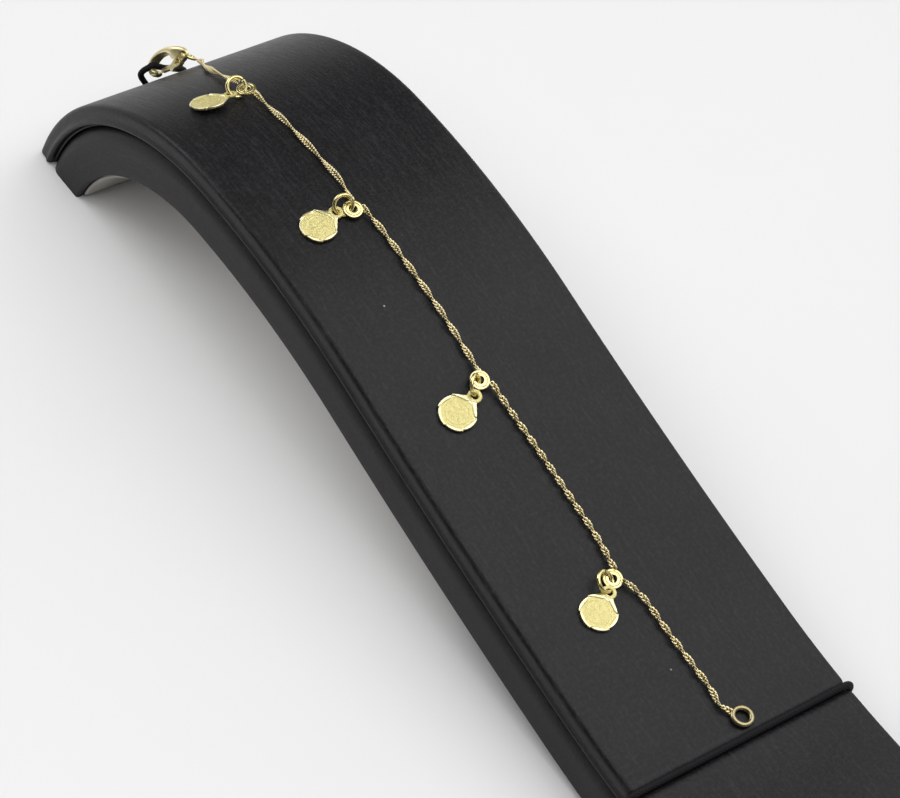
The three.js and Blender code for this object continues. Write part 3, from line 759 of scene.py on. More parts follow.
@dataclass
class NearCord:
    """Elastic cord round the ramp near its toe, pulled into the pad."""

    line: RampLine
    radius: float = 0.65
    along: float = 204.9
    skew: float = 0.003
    rise: float = 0.15
    corner_radius: float = 2.0
    under_depth: float = 0.95
    side: float = 24.55
    strands: int = 6
    relief: float = 0.035

    def route(self) -> Array:
        """Centre line: a rounded rectangle round the ramp, slanted by the skew."""
        top, bottom = self.rise, self.under_depth - self.line.thickness
        r, side = self.corner_radius, self.side
        turn = np.radians(np.arange(0, 91, 15))
        corners = [(side - r, bottom + r, -90), (side - r, top - r, 0),
                   (-side + r, top - r, 90), (-side + r, bottom + r, 180)]
        flat = [np.stack([x + r * np.cos(np.radians(start) + turn),
                          z + r * np.sin(np.radians(start) + turn)], axis=1)
                for x, z, start in corners]
        count = np.linspace(0, 1, 9)[1:-1, None]
        ends = [(flat[k][-1], flat[(k + 1) % 4][0]) for k in range(4)]
        rows = [np.vstack([flat[k],
                           ends[k][0] + (ends[k][1] - ends[k][0]) * count])
                for k in range(4)]
        x, rise = np.vstack(rows).T
        across, toe, out = self.line.frame(self.along)
        origin = self.line.on(0.0, self.along, 0.0)
        return origin + x[:, None] * (across + self.skew * toe) + rise[:, None] * out

    def press(self, x: Array, along: Array, depth: float, spread: float) -> Array:
        """How deep the cord presses: a bell curve of the distance from its line."""
        away = along - self.along - self.skew * x
        return depth * np.exp(-away ** 2 / (2 * spread ** 2))

    def build(self, finish: bpy.types.Material) -> bpy.types.Object:
        """Sweeps the braided cord round the closed route."""
        path = catmull_rom(self.route(), 1300, closed=True)
        middle = path.mean(axis=0)
        shell = Shell()
        add_braid(shell, path, self.radius, path - middle, self.strands, self.relief, closed=True)
        return shell.piece("near_elastic_cord", finish)


def add_braid(shell: Shell, path: Array, radius: float, reference: Array, strands: int,
              relief: float, closed: bool = False) -> None:
    """Adds a braided cord.

    The radius rises by the larger of sin(a + b) and sin(a - b), where a grows by a turn
    for every braid along the cord and b goes round it once for each strand.

    Args:
        shell: where the surface goes.
        path: centre line.
        radius: mean radius.
        reference: direction that keeps the section from turning.
        strands: crossings round the cord.
        relief: height of a strand.
        closed: whether the cord joins its own start.
    """
    sides = 18
    angle = np.arange(sides) / sides * 2 * np.pi
    reach = np.concatenate([[0.0], np.cumsum(np.linalg.norm(np.diff(path, axis=0), axis=1))])
    turns = max(round(reach[-1] / 0.7), 1)
    a = reach[:, None] / reach[-1] * turns * 2 * np.pi
    b = strands * angle[None]
    r = radius + relief * (np.maximum(np.sin(a + b), np.sin(a - b)) - 0.6)
    section = np.stack([r * np.cos(angle), r * np.sin(angle)], axis=-1)
    v = np.linspace(0.0, strands * 2 * np.pi / 9000.0, sides + 1)
    shell.grid(carry(path, reference, section, closed), loop=closed, u=reach * MM, v=v)


@dataclass
class Ramp:
    """Display ramp: leatherette pad on a covered core, with a pale lining under its arch."""

    line: RampLine
    cord: NearCord
    width: float = 48.0
    pad_thickness: float = 4.1
    core_top: float = 4.25
    core_edge: float = 0.5
    core_shoulder: tuple = (2.3, 3.0)
    far_rounding: float = 0.4
    toe_rounding: float = 1.2
    pad_clear: float = 0.15
    lining_from: float = 6.5
    lining_to: float = 158.0
    pad_fade: float = 8.0
    core_fade: float = 14.0
    level_steps: int = 12
    edge_reach: float = 1.7
    edge_knots: tuple = ((-1.7, -0.02), (-1.1, 0.04), (-0.66, 0.22), (-0.38, 0.58),
                         (-0.26, 1.1), (-0.22, 1.7), (-0.15, 2.3), (0.04, 2.76),
                         (0.2, 3.12), (0.13, 3.44), (-0.25, 3.68), (-1.1, 3.82))
    groove_half: float = 0.8
    groove_soft: float = 0.25
    groove_depth: float = 1.8
    lining_thickness: float = 0.7
    lining_inset: float = 1.2

    def stations(self, start: float, end: float) -> Array:
        """Distances along the ramp, closer together where the cord crosses and at both ends."""
        even = np.arange(start, end, 0.9)
        near = self.cord.along + np.arange(-4.0, 4.01, 0.2)
        tips = np.array([0.02, 0.1, 0.22, 0.38, 0.58, 0.85])
        every = np.concatenate([even, near, start + tips, end - tips, [start, end]])
        return np.unique(np.round(every[(every >= start) & (every <= end)], 3))

    def pad_section(self) -> tuple[Array, Array]:
        """Half widths beyond the straight side, and depths, from the top's middle to the bottom's.

        The side falls steeply under its rounded top edge, swells into a lip where the
        covering is glued round the board, and tucks in under it.
        """
        edge = catmull_rom(self.edge_knots, 36)
        half = self.width / 2
        flat = np.linspace(0.0, half - self.edge_reach, 24)[:-1]
        top = np.stack([flat, np.full_like(flat, -0.02)], axis=1)
        bottom = np.stack([np.linspace(half - 1.2, 0.0, 14), np.full(14, self.pad_thickness)],
                          axis=1)
        edge[:, 0] += half
        half_section = np.vstack([top, edge, bottom])
        return half_section[:, 0], half_section[:, 1]

    @staticmethod
    def closed_section(x: Array, depth: Array) -> tuple[Array, Array]:
        """A half section and its mirror, as one ring."""
        return np.concatenate([x, -x[-2:0:-1]]), np.concatenate([depth, depth[-2:0:-1]])

    @staticmethod
    def round_ends(along: Array, radius_from: float, radius_to: float) -> Array:
        """Inset of the section near both ends: r - sqrt(r^2 - (r - d)^2) for distance d < r."""
        start, end = along[0], along[-1]
        inset = np.zeros_like(along)
        for distance, r in ((along - start, radius_from), (end - along, radius_to)):
            d = np.clip(distance, 0.0, r)
            inset = np.maximum(inset, r - np.sqrt(np.maximum(r * r - (r - d) ** 2, 0.0)))
        return inset

    def cut_level(self, depth: Array, height: float, reach: float) -> tuple[Array, Array]:
        """Stations, and where each point of a section lies when the far end is cut level.

        A point at depth p and distance a is at height z(a) - cos(h(a)) p. Repeated steps of
        a + (c - height) / sin(h) bring it to height c. The shear that this needs fades out
        over a reach.

        Args:
            depth: depths of the section's points.
            height: height of the cut above the floor.
            reach: distance over which the section turns square to the line.

        Returns:
            Distances of the stations, and distances of all points, stations by points.
        """
        level = np.zeros_like(depth)
        for _ in range(self.level_steps):
            _, z, heading = self.line.line(level)
            level = level + (height - z + np.cos(heading) * depth) / np.sin(heading)
        base = self.stations(float(level.min()), self.line.length)
        fade = 1.0 - smooth_step((base - base[0]) / reach)
        return base, base[:, None] + (level - base[0])[None] * fade[:, None]

    def pad(self, finish: bpy.types.Material) -> bpy.types.Object:
        """Carries the pad's section along the line, rounds its ends and presses the cord in."""
        x, depth = self.closed_section(*self.pad_section())
        along, station = self.cut_level(depth, self.pad_clear, self.pad_fade)
        inset = self.round_ends(along, self.far_rounding, self.toe_rounding)[:, None]
        middle = self.pad_thickness / 2
        squeeze = 1.0 - inset / middle * 0.92
        wide = x[None] * (1.0 - inset / (self.width / 2))
        deep = middle + (depth[None] - middle) * squeeze
        top = smooth_step((2.4 - deep) / 2.0)
        deep = deep + top * self.cord.press(wide, station, 0.62, 0.62)
        side = smooth_step((np.abs(wide) - self.width / 2 + 2.5) / 2.0)
        wide = wide - np.sign(wide) * side * self.cord.press(wide, station, 0.4, 0.6)
        shell = Shell()
        shell.grid(self.line.on(wide, station, -deep), u=along * MM)
        return shell.piece("ramp_pad", finish, sharp=70.0)

    def core(self, finish: bpy.types.Material) -> bpy.types.Object:
        """Rounded slab under the pad, its far end flat on the floor."""
        half, r = self.width / 2, self.core_edge
        a, b = self.core_shoulder
        turn = np.radians(np.linspace(0, 90, 9))
        top, bottom = self.core_top, self.line.thickness
        flat = np.linspace(0.0, half - a, 16)[:-1]
        x = np.concatenate([flat, half - a + a * np.sin(turn), [half] * 4,
                            half - r + r * np.cos(turn), flat[::-1]])
        down = np.linspace(top + b, bottom - r, 6)[1:-1]
        depth = np.concatenate([np.full_like(flat, top), top + b - b * np.cos(turn), down,
                                bottom - r + r * np.sin(turn), np.full_like(flat, bottom)])
        x, depth = self.closed_section(x, depth)
        base, along = self.cut_level(depth, 0.0, self.core_fade)
        wide = np.broadcast_to(x[None], along.shape)
        deep = np.broadcast_to(depth[None], along.shape)
        inset = self.round_ends(base, 1e-6, 0.6)[:, None]
        wide = wide * (1.0 - inset / half)
        middle = (top + bottom) / 2
        deep = middle + (deep - middle) * (1.0 - inset / middle)
        away = np.abs(along - self.cord.along - self.cord.skew * wide)
        slot = 1.0 - smooth_step((away - self.groove_half) / self.groove_soft)
        under = smooth_step((deep - bottom + 0.7) / 0.6)
        deep = deep - under * slot * self.groove_depth
        shell = Shell()
        shell.grid(self.line.on(wide, along, -deep), u=base * MM)
        return shell.piece("ramp_core", finish, sharp=50.0)

    def lining(self, finish: bpy.types.Material) -> bpy.types.Object:
        """Thin covered card glued under the arch, its edges softly rounded."""
        along = self.stations(self.lining_from, self.lining_to)
        half = self.width / 2 - self.lining_inset
        turn = np.radians(np.linspace(0, 180, 9))
        r = self.lining_thickness / 2
        flat = np.linspace(0.0, half - r, 18)[:-1]
        x = np.concatenate([flat, half - r + r * np.sin(turn), flat[::-1]])
        top = self.line.thickness + 0.04
        depth = np.concatenate([np.full_like(flat, top), top + r - r * np.cos(turn),
                                np.full_like(flat, top + 2 * r)])
        x, depth = self.closed_section(x, depth)
        inset = self.round_ends(along, r, r)[:, None]
        deep = top + r + (depth[None] - top - r) * (1.0 - inset / r * 0.9)
        wide = x[None] * (1.0 - inset / half)
        shell = Shell()
        shell.grid(self.line.on(wide, along[:, None], -deep), u=along * MM)
        return shell.piece("arch_lining", finish, sharp=60.0)

    def build(self, finishes: Finishes) -> None:
        """Makes the ramp's three pieces and its near cord."""
        pad = settle(self.pad(finishes.pad), "display", "pad", "stand_pad")
        settle(self.core(finishes.core), "display", "board", "stand_core")
        settle(self.lining(finishes.lining), "display", "lining", "underside_lining")
        settle(self.cord.build(finishes.elastic), "display", "elastic", "elastic_cord_near")


# ---------------------------------------------------------------- chain


@dataclass
class ChainLength:
    """One length of fine twisted curb chain.

    The ribbon of links turns half round between one narrow place and the next.
    """

    number: int
    rows: tuple
    narrow_at: float
    half_turn: float
    half_turn_end: Optional[float] = None
    pitch: float = 0.62
    half_length: float = 0.42
    half_width: float = 0.38
    end_wire: float = 0.11
    side_wire: tuple = (0.25, 0.12)
    weave: float = 0.09
    narrow_turn: float = -56.0
    reach_start: float = 1.3
    reach_end: float = 0.9

    def link(self) -> Array:
        """One link: an oval saddle of wire that is thicker along the ribbon's edges.

        The centre line is (a |cos t|^0.65, b |sin t|^0.6, h sin 2t) with the signs of the
        cosine and sine, and the wire grows from round ends to wide flat sides with |sin t|.
        """
        t = np.arange(12) / 12 * 2 * np.pi
        cosine, sine = np.cos(t), np.sin(t)
        x = self.half_length * np.sign(cosine) * np.abs(cosine) ** 0.65
        y = self.half_width * np.sign(sine) * np.abs(sine) ** 0.6
        path = np.stack([x, y, self.weave * np.sin(2 * t)], axis=1)
        growth = np.array(self.side_wire) - self.end_wire
        radius = self.end_wire + growth[None] * np.abs(sine)[:, None]
        section = circle(1.0, 5)[None] * radius[:, None]
        return carry(path, np.array([0.0, 0.0, 1.0]), section, closed=True)

    def centre_line(self, line: RampLine) -> Array:
        """The route lowered to the ribbon's height and drawn out to what it joins."""
        rows = np.array(self.rows, float)
        rows[:, 2] -= 0.2
        points = line.route(rows)
        first = points[0] + self.reach_start * unit(points[0] - points[1])
        last = points[-1] + self.reach_end * unit(points[-1] - points[-2])
        return catmull_rom(np.vstack([first, points, last]), 600)

    def twist(self, along: Array) -> Array:
        """Angle of the ribbon: half a turn for every half_turn, which may change evenly."""
        first, last = self.rows[0][1], self.rows[-1][1]
        h0, h1 = self.half_turn, self.half_turn_end or self.half_turn
        slope = (h1 - h0) / (last - first)
        if abs(slope) < 1e-6:
            share = (along - self.narrow_at) / h0
        else:
            at = self.narrow_at - first
            share = np.log((h0 + slope * (along - first)) / (h0 + slope * at)) / slope
        return np.radians(self.narrow_turn) + np.pi * share

    def build(self, line: RampLine, finish: bpy.types.Material) -> bpy.types.Object:
        """Sets a link at every pitch, turned with the ribbon, in one joined mesh."""
        path = self.centre_line(line)
        reach = np.concatenate([[0.0], np.cumsum(np.linalg.norm(np.diff(path, axis=0), axis=1))])
        count = int(round(reach[-1] / self.pitch))
        at = (np.arange(count) + 0.5) * reach[-1] / count
        centre = np.stack([np.interp(at, reach, path[:, k]) for k in range(3)], axis=1)
        tangent = unit(np.stack([np.interp(at, reach, np.gradient(path[:, k])) for k in range(3)],
                                axis=1))
        along = np.interp(at, [0.0, reach[-1]],
                          [self.rows[0][1] - self.reach_start, self.rows[-1][1] + self.reach_end])
        up = line.frame(along)[2]
        up = unit(up - (up * tangent).sum(axis=1, keepdims=True) * tangent)
        side = np.cross(tangent, up)
        turn = self.twist(along)[:, None]
        wide = np.cos(turn) * side - np.sin(turn) * up
        thick = np.sin(turn) * side + np.cos(turn) * up
        shell = Shell()
        shell.repeat(self.link(), centre, np.stack([tangent, wide, thick], axis=1))
        return shell.piece(f"chain_links_{self.number}", finish, sharp=180.0)


# ---------------------------------------------------------------- charms


@dataclass(frozen=True)
class CharmPlace:
    """Where one charm lies.

    Turns are degrees in the plane of the pad, from -X towards the toe. chord points from
    the connector to the coin's ear, span is the distance between the places where the jump
    ring bears on them, lean is how far the ring leans away from the toe.
    """

    x: float
    along: float
    chord: float
    span: float
    lean: float
    coin_turn: float
    coin_roll: float = 0.0
    coin_rise: float = 0.0
    coin_spin: float = 0.0
    coin_scale: float = 1.0


@dataclass
class Charm:
    """Connector ring, jump ring and coin with its ear."""

    number: int
    place: CharmPlace
    connector_outer: float = 1.85
    connector_hole: float = 0.7
    connector_thickness: float = 0.55
    connector_tilt: float = 8.0
    connector_turn: float = 45.0
    jump_outer: float = 2.2
    jump_wire: float = 0.37
    bearing: float = 0.2
    settled: float = 0.08
    jump_opening: float = 9.0
    jump_opening_turn: float = 150.0
    coin_radius: float = 3.55
    coin_thickness: float = 0.5
    notch: float = 0.2
    scallops: int = 6
    recess: float = 0.14
    ear_outer: float = 1.35
    ear_hole: float = 0.64
    ear_reach: float = 4.55

    @staticmethod
    def washer(shell: Shell, outer: float, hole: float, thickness: float, axes: Array,
               centre: Array,
               groove: float = 0.0) -> None:
        """Adds a flat ring: a rounded section (r, y) carried round its axis.

        Args:
            shell: where the surface goes.
            outer: outer radius.
            hole: radius of its hole.
            thickness: height of the section.
            axes: rows are two directions in its plane and its normal.
            centre: its middle.
            groove: depth of a fine line round its upper face.
        """
        h, e = thickness / 2, min(0.16, thickness * 0.4)
        middle = hole + (outer - hole) * 0.58
        half = [(hole, -h + e), (hole + e * 0.3, -h + e * 0.3), (hole + e, -h), (middle, -h),
                (outer - e, -h),
                (outer - e * 0.3, -h + e * 0.3), (outer, -h + e), (outer, h - e),
                (outer - e * 0.3, h - e * 0.3), (outer - e, h), (middle + 0.09, h + 0.02),
                (middle, h - groove), (middle - 0.09, h + 0.02), (hole + e, h),
                (hole + e * 0.3, h - e * 0.3),
                (hole, h - e)]
        r, y = np.array(half).T
        angle = (np.arange(72) / 72 * 2 * np.pi)[:, None]
        local = np.stack([r * np.cos(angle), r * np.sin(angle), np.broadcast_to(y, (72, len(y)))],
                         axis=-1)
        shell.grid(local @ axes + centre, loop=True)

    def neck(self, shell: Shell, axes: Array, ear: Array) -> None:
        """Adds the flaring neck between the ear and the coin.

        Its half width grows from 1.17 to 2.0 mm with the way down to the power 1.6, and its
        section is an oval with flattened faces.
        """
        t = np.linspace(0.0, 1.0, 9)[:, None]
        angle = (np.arange(24) / 24 * 2 * np.pi)[None]
        y = (1.17 + 0.83 * t ** 1.6) * np.sign(np.cos(angle)) * np.abs(np.cos(angle)) ** 0.5
        z = 0.2 * np.sign(np.sin(angle)) * np.abs(np.sin(angle)) ** 0.5 * np.ones_like(t)
        x = np.broadcast_to(-0.66 - 0.95 * t, y.shape)
        shell.grid(np.stack([x, y, z], axis=-1) @ axes + ear, u=np.full(9, 0.95),
                   v=np.linspace(0.0, 1.0, 25))

    def coin_surface(self, scale: float) -> Array:
        """Points of the coin, rings from the middle of its face over the rim to its back.

        The outline swells by a notch over each scallop and steps back. On the face, a
        recess is eased up to the rim over 0.2 mm at a line that bows inwards within each
        scallop, and a low six-petalled rosette is pressed into it.
        """
        sides = 22 * self.scallops
        angle = np.arange(sides) / sides * 2 * np.pi
        share = (angle * self.scallops / (2 * np.pi) + 1e-9) % 1.0
        outline = self.coin_radius - self.notch * (1.0 - share)
        rim = 0.2 + 0.46 * np.sin(np.pi * share ** 0.75)
        q = np.concatenate([[0.02], np.linspace(0.08, 0.62, 14), np.linspace(0.65, 0.97, 18),
                            [0.988]])
        r = q[:, None] * outline[None]
        inner = outline - rim
        eased = smooth_step((r - inner[None]) / 0.16 + 0.5)
        crown = 0.035 * np.sin(np.pi * np.clip((r - inner[None]) / rim[None], 0, 1))
        petals = 0.5 + 0.5 * np.cos(6 * angle)[None]
        heart = np.exp(-((r - 1.25) / 0.55) ** 2) * petals + np.exp(-(r / 0.38) ** 2)
        ring = 0.6 * np.exp(-((r - 2.15) / 0.12) ** 2)
        half = self.coin_thickness / 2
        top = (half - self.recess * (1.0 - eased) + crown * eased
               + 0.1 * (heart + ring) * (1.0 - eased))
        top[-1] = half - 0.03
        wall_q = np.array([1.0, 1.0, 0.988, 0.9, 0.5, 0.02])
        wall_z = np.array([half - 0.12, -half + 0.12, -half + 0.03, -half, -half, -half])
        r = np.vstack([r, wall_q[:, None] * outline[None]]) * scale
        z = np.vstack([top, np.broadcast_to(wall_z[:, None], (6, sides))])
        spun = angle + np.radians(self.place.coin_spin)
        x = r * np.cos(spun) - self.ear_reach * scale
        return np.stack([x, r * np.sin(spun), z], axis=-1)

    def build(self, line: RampLine, finishes: Finishes) -> None:
        """Works out where the three pieces hang together and makes them.

        The jump ring stands on the pad through both holes: its centre is rise above their
        middle, where rise^2 = mean radius^2 - (span / 2)^2. The coin slopes from its ear
        down to the pad.
        """
        p = self.place
        out = line.frame(p.along)[2]
        chord = line.direction(p.along, p.chord)
        away = line.direction(p.along, p.chord - 90)
        mean = self.jump_outer - self.jump_wire
        rise = np.sqrt(mean ** 2 - p.span ** 2 / 4)
        up = tilted(out, away, p.lean)
        hole_rise = self.settled + (self.jump_outer - rise) * np.cos(np.radians(p.lean))
        hole = line.on(p.x, p.along, hole_rise)
        lift = 0.1
        shell = Shell()
        low = line.direction(p.along, self.connector_turn)
        normal = tilted(out, low, self.connector_tilt)
        side = unit(np.cross(low, normal))
        axes = np.stack([np.cross(side, normal), side, normal])
        self.washer(shell, self.connector_outer, self.connector_hole, self.connector_thickness,
                    axes,
                    hole + lift * out - self.bearing * chord, groove=0.035)
        settle(shell.piece(f"connector_{self.number}", finishes.ring), "display", "ring_gold",
               f"connector_ring_{self.number}")
        centre = hole + chord * p.span / 2 + up * rise
        cut = np.radians(self.jump_opening / 2)
        angle = np.radians(self.jump_opening_turn) + np.linspace(cut, 2 * np.pi - cut, 72)[:, None]
        path = centre + mean * (np.cos(angle) * chord + np.sin(angle) * up)
        shell = Shell()
        shell.grid(carry(path, np.cross(chord, up), circle(self.jump_wire, 14)))
        settle(shell.piece(f"jump_ring_wire_{self.number}", finishes.ring, sharp=60.0), "display",
               "ring_gold",
               f"jump_ring_{self.number}")
        scale = p.coin_scale
        ear = hole + lift * out + (p.span + self.bearing) * chord
        outwards = line.direction(p.along, p.coin_turn)
        rest = self.settled + 0.02 + self.coin_thickness / 2 + p.coin_rise
        slope = np.degrees(np.arcsin((hole_rise + lift - rest)
                                     / (self.ear_reach + self.coin_radius)))
        downhill = tilted(outwards, -out, slope)
        level = tilted(out, outwards, slope)
        face = tilted(level, -np.cross(level, downhill), p.coin_roll)
        axes = np.stack([-downhill, np.cross(face, -downhill), face])
        shell = Shell()
        surface = self.coin_surface(scale)
        share = np.linalg.norm(surface[..., :2] + [self.ear_reach * scale, 0.0],
                               axis=-1).mean(axis=1)
        shell.grid(surface @ axes + ear, u=share / (self.coin_radius * scale),
                   v=np.linspace(0.0, 1.0, surface.shape[1] + 1))
        self.washer(shell, self.ear_outer, self.ear_hole, self.coin_thickness * 0.92, axes, ear)
        self.neck(shell, axes, ear)
        settle(shell.piece(f"coin_charm_{self.number}", finishes.coin), "display", "coin_gold",
               f"coin_{self.number}")


# ---------------------------------------------------------------- clasp and loose rings


@dataclass
class Clasp:
    """Lobster clasp lying on its lever's side, its tail ring and the elastic loop in its hook.

    In its own frame u runs from tail to nose, v away from the pad and w through it.
    """

    line: RampLine
    x: float = -1.1
    along: float = 20.3
    rise: float = 0.5
    turn: float = 24.0
    roll: float = 20.0
    length: float = 10.2
    back: tuple = ((0.5, 1.4), (0.0, 2.4), (0.6, 3.5), (2.2, 4.4), (4.6, 4.95), (7.2, 4.75),
                   (9.2, 3.8),
                   (10.2, 2.3), (9.85, 0.9), (8.8, 0.25), (7.6, 0.3))
    inside: tuple = ((2.4, 0.42), (3.5, 0.8), (3.9, 1.7), (4.0, 2.7), (4.6, 3.5), (6.5, 3.8),
                     (7.9, 3.4),
                     (8.75, 2.55), (8.7, 1.75), (8.2, 1.25), (7.4, 0.95))
    flank: tuple = (0.5, 0.55, 0.9, 1.25, 1.3, 1.28, 1.22, 1.12, 0.95, 0.8, 0.62)
    eye: tuple = (0.98, 2.4)
    eye_radius: float = 0.66
    eye_depth: float = 8.0
    slot_low: tuple = (1.45, -3.0, -0.8)
    slot_high: tuple = (4.6, 2.7, 0.8)
    pin_radius: float = 0.32
    pin_length: float = 2.5
    pivot: tuple = (2.7, 1.4)
    ring_outer: float = 1.6
    ring_wire: float = 0.3
    ring_dip: float = 38.0
    loop_radius: float = 0.6
    loop_right: tuple = ((6.4, 11.2, -3.3), (6.4, 11.2, 0.2), (6.2, 11.8, 1.15), (5.3, 13.1, 1.35),
                         (4.1, 14.4, 1.3), (2.8, 15.6, 1.35), (1.5, 16.4, 1.65))
    loop_left: tuple = ((-3.9, 18.0, 3.0), (-4.6, 17.0, 2.9), (-4.8, 15.8, 2.6), (-4.3, 14.6, 2.0),
                        (-3.6, 13.6, 1.3), (-3.2, 13.0, 0.3), (-3.1, 12.8, -3.3))

    def axes(self) -> tuple[Array, Array]:
        """Rows u, v, w and the origin under the tail."""
        across, toe, out = self.line.frame(self.along)
        turn = np.radians(self.turn)
        u = -np.cos(turn) * toe - np.sin(turn) * across
        v = tilted(out, np.cross(u, out), self.roll)
        w = np.cross(u, v)
        return np.stack([u, v, w]), self.line.on(self.x, self.along,
                                                 self.rise) - u * self.length / 2

    def placed(self, points: Array) -> Array:
        """Points given in the clasp's frame, moved to the ramp."""
        axes, origin = self.axes()
        return np.asarray(points, float) @ axes + origin

    def claw(self) -> Shell:
        """Pillow-like claw: ovals between the back and the inside of the hook.

        Ring i spans from inside(t) to back(t) and is flank(t) thick: a point of it is the
        middle plus half the span times cos a and the flank times sin a, both raised to the
        power 0.72 for fuller sides.
        """
        rows = np.hstack([self.back, self.inside, np.array(self.flank)[:, None]])
        dense = catmull_rom(rows, 88)
        outer, inner, flank = dense[:, :2], dense[:, 2:4], dense[:, 4]
        angle = np.arange(28) / 28 * 2 * np.pi
        cosine = np.sign(np.cos(angle)) * np.abs(np.cos(angle)) ** 0.72
        sine = np.sign(np.sin(angle)) * np.abs(np.sin(angle)) ** 0.72
        middle, half = (outer + inner) / 2, (outer - inner) / 2
        t = np.linspace(0.0, 1.0, 88)
        tip = np.sqrt(np.clip(1.0 - ((t - 0.965) / 0.035).clip(0, 1) ** 2, 0.02, 1.0))
        tail = np.sqrt(np.clip(1.0 - (1.0 - t / 0.03).clip(0, 1) ** 2, 0.1, 1.0))
        size = (tip * tail)[:, None]
        flat = middle[:, None] + half[:, None] * (cosine * size)[..., None]
        thick = flank[:, None] * sine * size
        shell = Shell()
        shell.grid(self.placed(np.concatenate([flat, thick[..., None]], axis=-1)))
        return shell

    def block(self, low: Sequence[float], high: Sequence[float]) -> Shell:
        """A box in the clasp's frame between two corners."""
        (a, b, c), (d, e, f) = low, high
        grid = [[(k, b, c), (k, e, c), (k, e, f), (k, b, f)] for k in (a, d)]
        shell = Shell()
        shell.grid(self.placed(grid))
        return shell

    def rod(self, at: Sequence[float], radius: float, length: float) -> Shell:
        """A round bar through the clasp's thickness."""
        ends = np.array([[*at, -length / 2], [*at, length / 2]])
        axes, _ = self.axes()
        shell = Shell()
        shell.grid(carry(self.placed(ends), axes[0], circle(radius, 32)))
        return shell

    def body(self, finish: bpy.types.Material) -> bpy.types.Object:
        """The claw with its eye and lever slot cut out, and a bar for the lever's pin.

        The slot is wider than the claw is thick at the pin, so the bar does not touch the claw.
        """
        claw = self.claw().piece("clasp_claw", finish)
        cutters = [self.rod(self.eye, self.eye_radius, self.eye_depth),
                   self.block(self.slot_low, self.slot_high)]
        carve(claw, [c.piece(f"cutter_{i}", finish) for i, c in enumerate(cutters)])
        pin = self.rod(self.pivot, self.pin_radius, self.pin_length).piece("clasp_pin", finish)
        join(claw, pin)
        claw.data.set_sharp_from_angle(angle=np.radians(35))
        return claw

    def lever(self, finish: bpy.types.Material) -> bpy.types.Object:
        """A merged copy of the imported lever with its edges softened."""
        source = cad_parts["clasp_lever"]
        mesh = source.data.copy()
        mesh.name = "clasp_lever_arm"
        merge_doubles(mesh)
        mesh.materials.clear()
        mesh.materials.append(finish)
        lever = bpy.data.objects.new("clasp_lever_arm", mesh)
        bpy.context.scene.collection.objects.link(lever)
        bevel = lever.modifiers.new("soft edges", "BEVEL")
        bevel.width, bevel.segments = 0.09 * MM, 3
        bevel.limit_method, bevel.angle_limit = "ANGLE", np.radians(35)
        bake_modifiers(lever)
        lever.data.shade_smooth()
        lever.data.set_sharp_from_angle(angle=np.radians(50))
        return lever

    def tail_ring(self, finish: bpy.types.Material) -> bpy.types.Object:
        """Round wire ring that hangs backwards from the eye."""
        (u, v, w), origin = self.axes()
        back = tilted(-u, -v, self.ring_dip)
        mean = self.ring_outer - self.ring_wire
        centre = origin + self.eye[0] * u + self.eye[1] * v + back * mean
        return loose_ring("clasp_tail_ring", centre, w, back, mean, self.ring_wire, finish)

    def loop(self, finish: bpy.types.Material) -> bpy.types.Object:
        """Elastic loop from one hole in the pad, through the hook and into the other."""
        middle = self.placed([(7.95, 2.15, s) for s in (1.8, 0.0, -1.8)])
        points = np.vstack([self.line.route(self.loop_right), middle,
                            self.line.route(self.loop_left)])
        path = catmull_rom(points, 420)
        shell = Shell()
        add_braid(shell, path, self.loop_radius, np.array([0.0, 0.35, 0.94]), 6, 0.03)
        return shell.piece("far_elastic_loop", finish)

    def build(self, finishes: Finishes) -> None:
        """Makes the clasp's body, lever, tail ring and the loop that it holds."""
        settle(self.body(finishes.clasp), "display", "ring_gold", "clasp_body")
        settle(self.lever(finishes.clasp), "lever", "ring_gold", "clasp_lever")
        settle(self.tail_ring(finishes.ring), "display", "ring_gold", "clasp_ring")
        settle(self.loop(finishes.elastic), "display", "elastic", "elastic_loop_far")


def bake_modifiers(piece: bpy.types.Object) -> None:
    """Replaces the piece's mesh by the one that its modifiers give."""
    graph = bpy.context.evaluated_depsgraph_get()
    mesh = bpy.data.meshes.new_from_object(piece.evaluated_get(graph))
    piece.modifiers.clear()
    mesh.name = piece.data.name
    piece.data = mesh


def carve(piece: bpy.types.Object, cutters: list[bpy.types.Object]) -> None:
    """Cuts closed cutters out of a closed piece and removes them."""
    for cutter in cutters:
        cut = piece.modifiers.new("cut", "BOOLEAN")
        cut.operation, cut.solver, cut.object = "DIFFERENCE", "EXACT", cutter
    bake_modifiers(piece)
    for cutter in cutters:
        bpy.data.objects.remove(cutter)


def join(piece: bpy.types.Object, other: bpy.types.Object) -> None:
    """Adds another piece's mesh to this one's."""
    work = bmesh.new()
    work.from_mesh(piece.data)
    work.from_mesh(other.data)
    work.to_mesh(piece.data)
    work.free()
    bpy.data.objects.remove(other)


def loose_ring(name: str, centre: Array, side: Array, ahead: Array, mean: float, wire: float,
               finish: bpy.types.Material) -> bpy.types.Object:
    """A ring of round wire in a plane: centre + mean (cos a side + sin a ahead)."""
    angle = (np.arange(80) / 80 * 2 * np.pi)[:, None]
    path = centre + mean * (np.cos(angle) * side + np.sin(angle) * ahead)
    shell = Shell()
    shell.grid(carry(path, np.cross(side, ahead), circle(wire, 16), closed=True), loop=True)
    return shell.piece(name, finish)


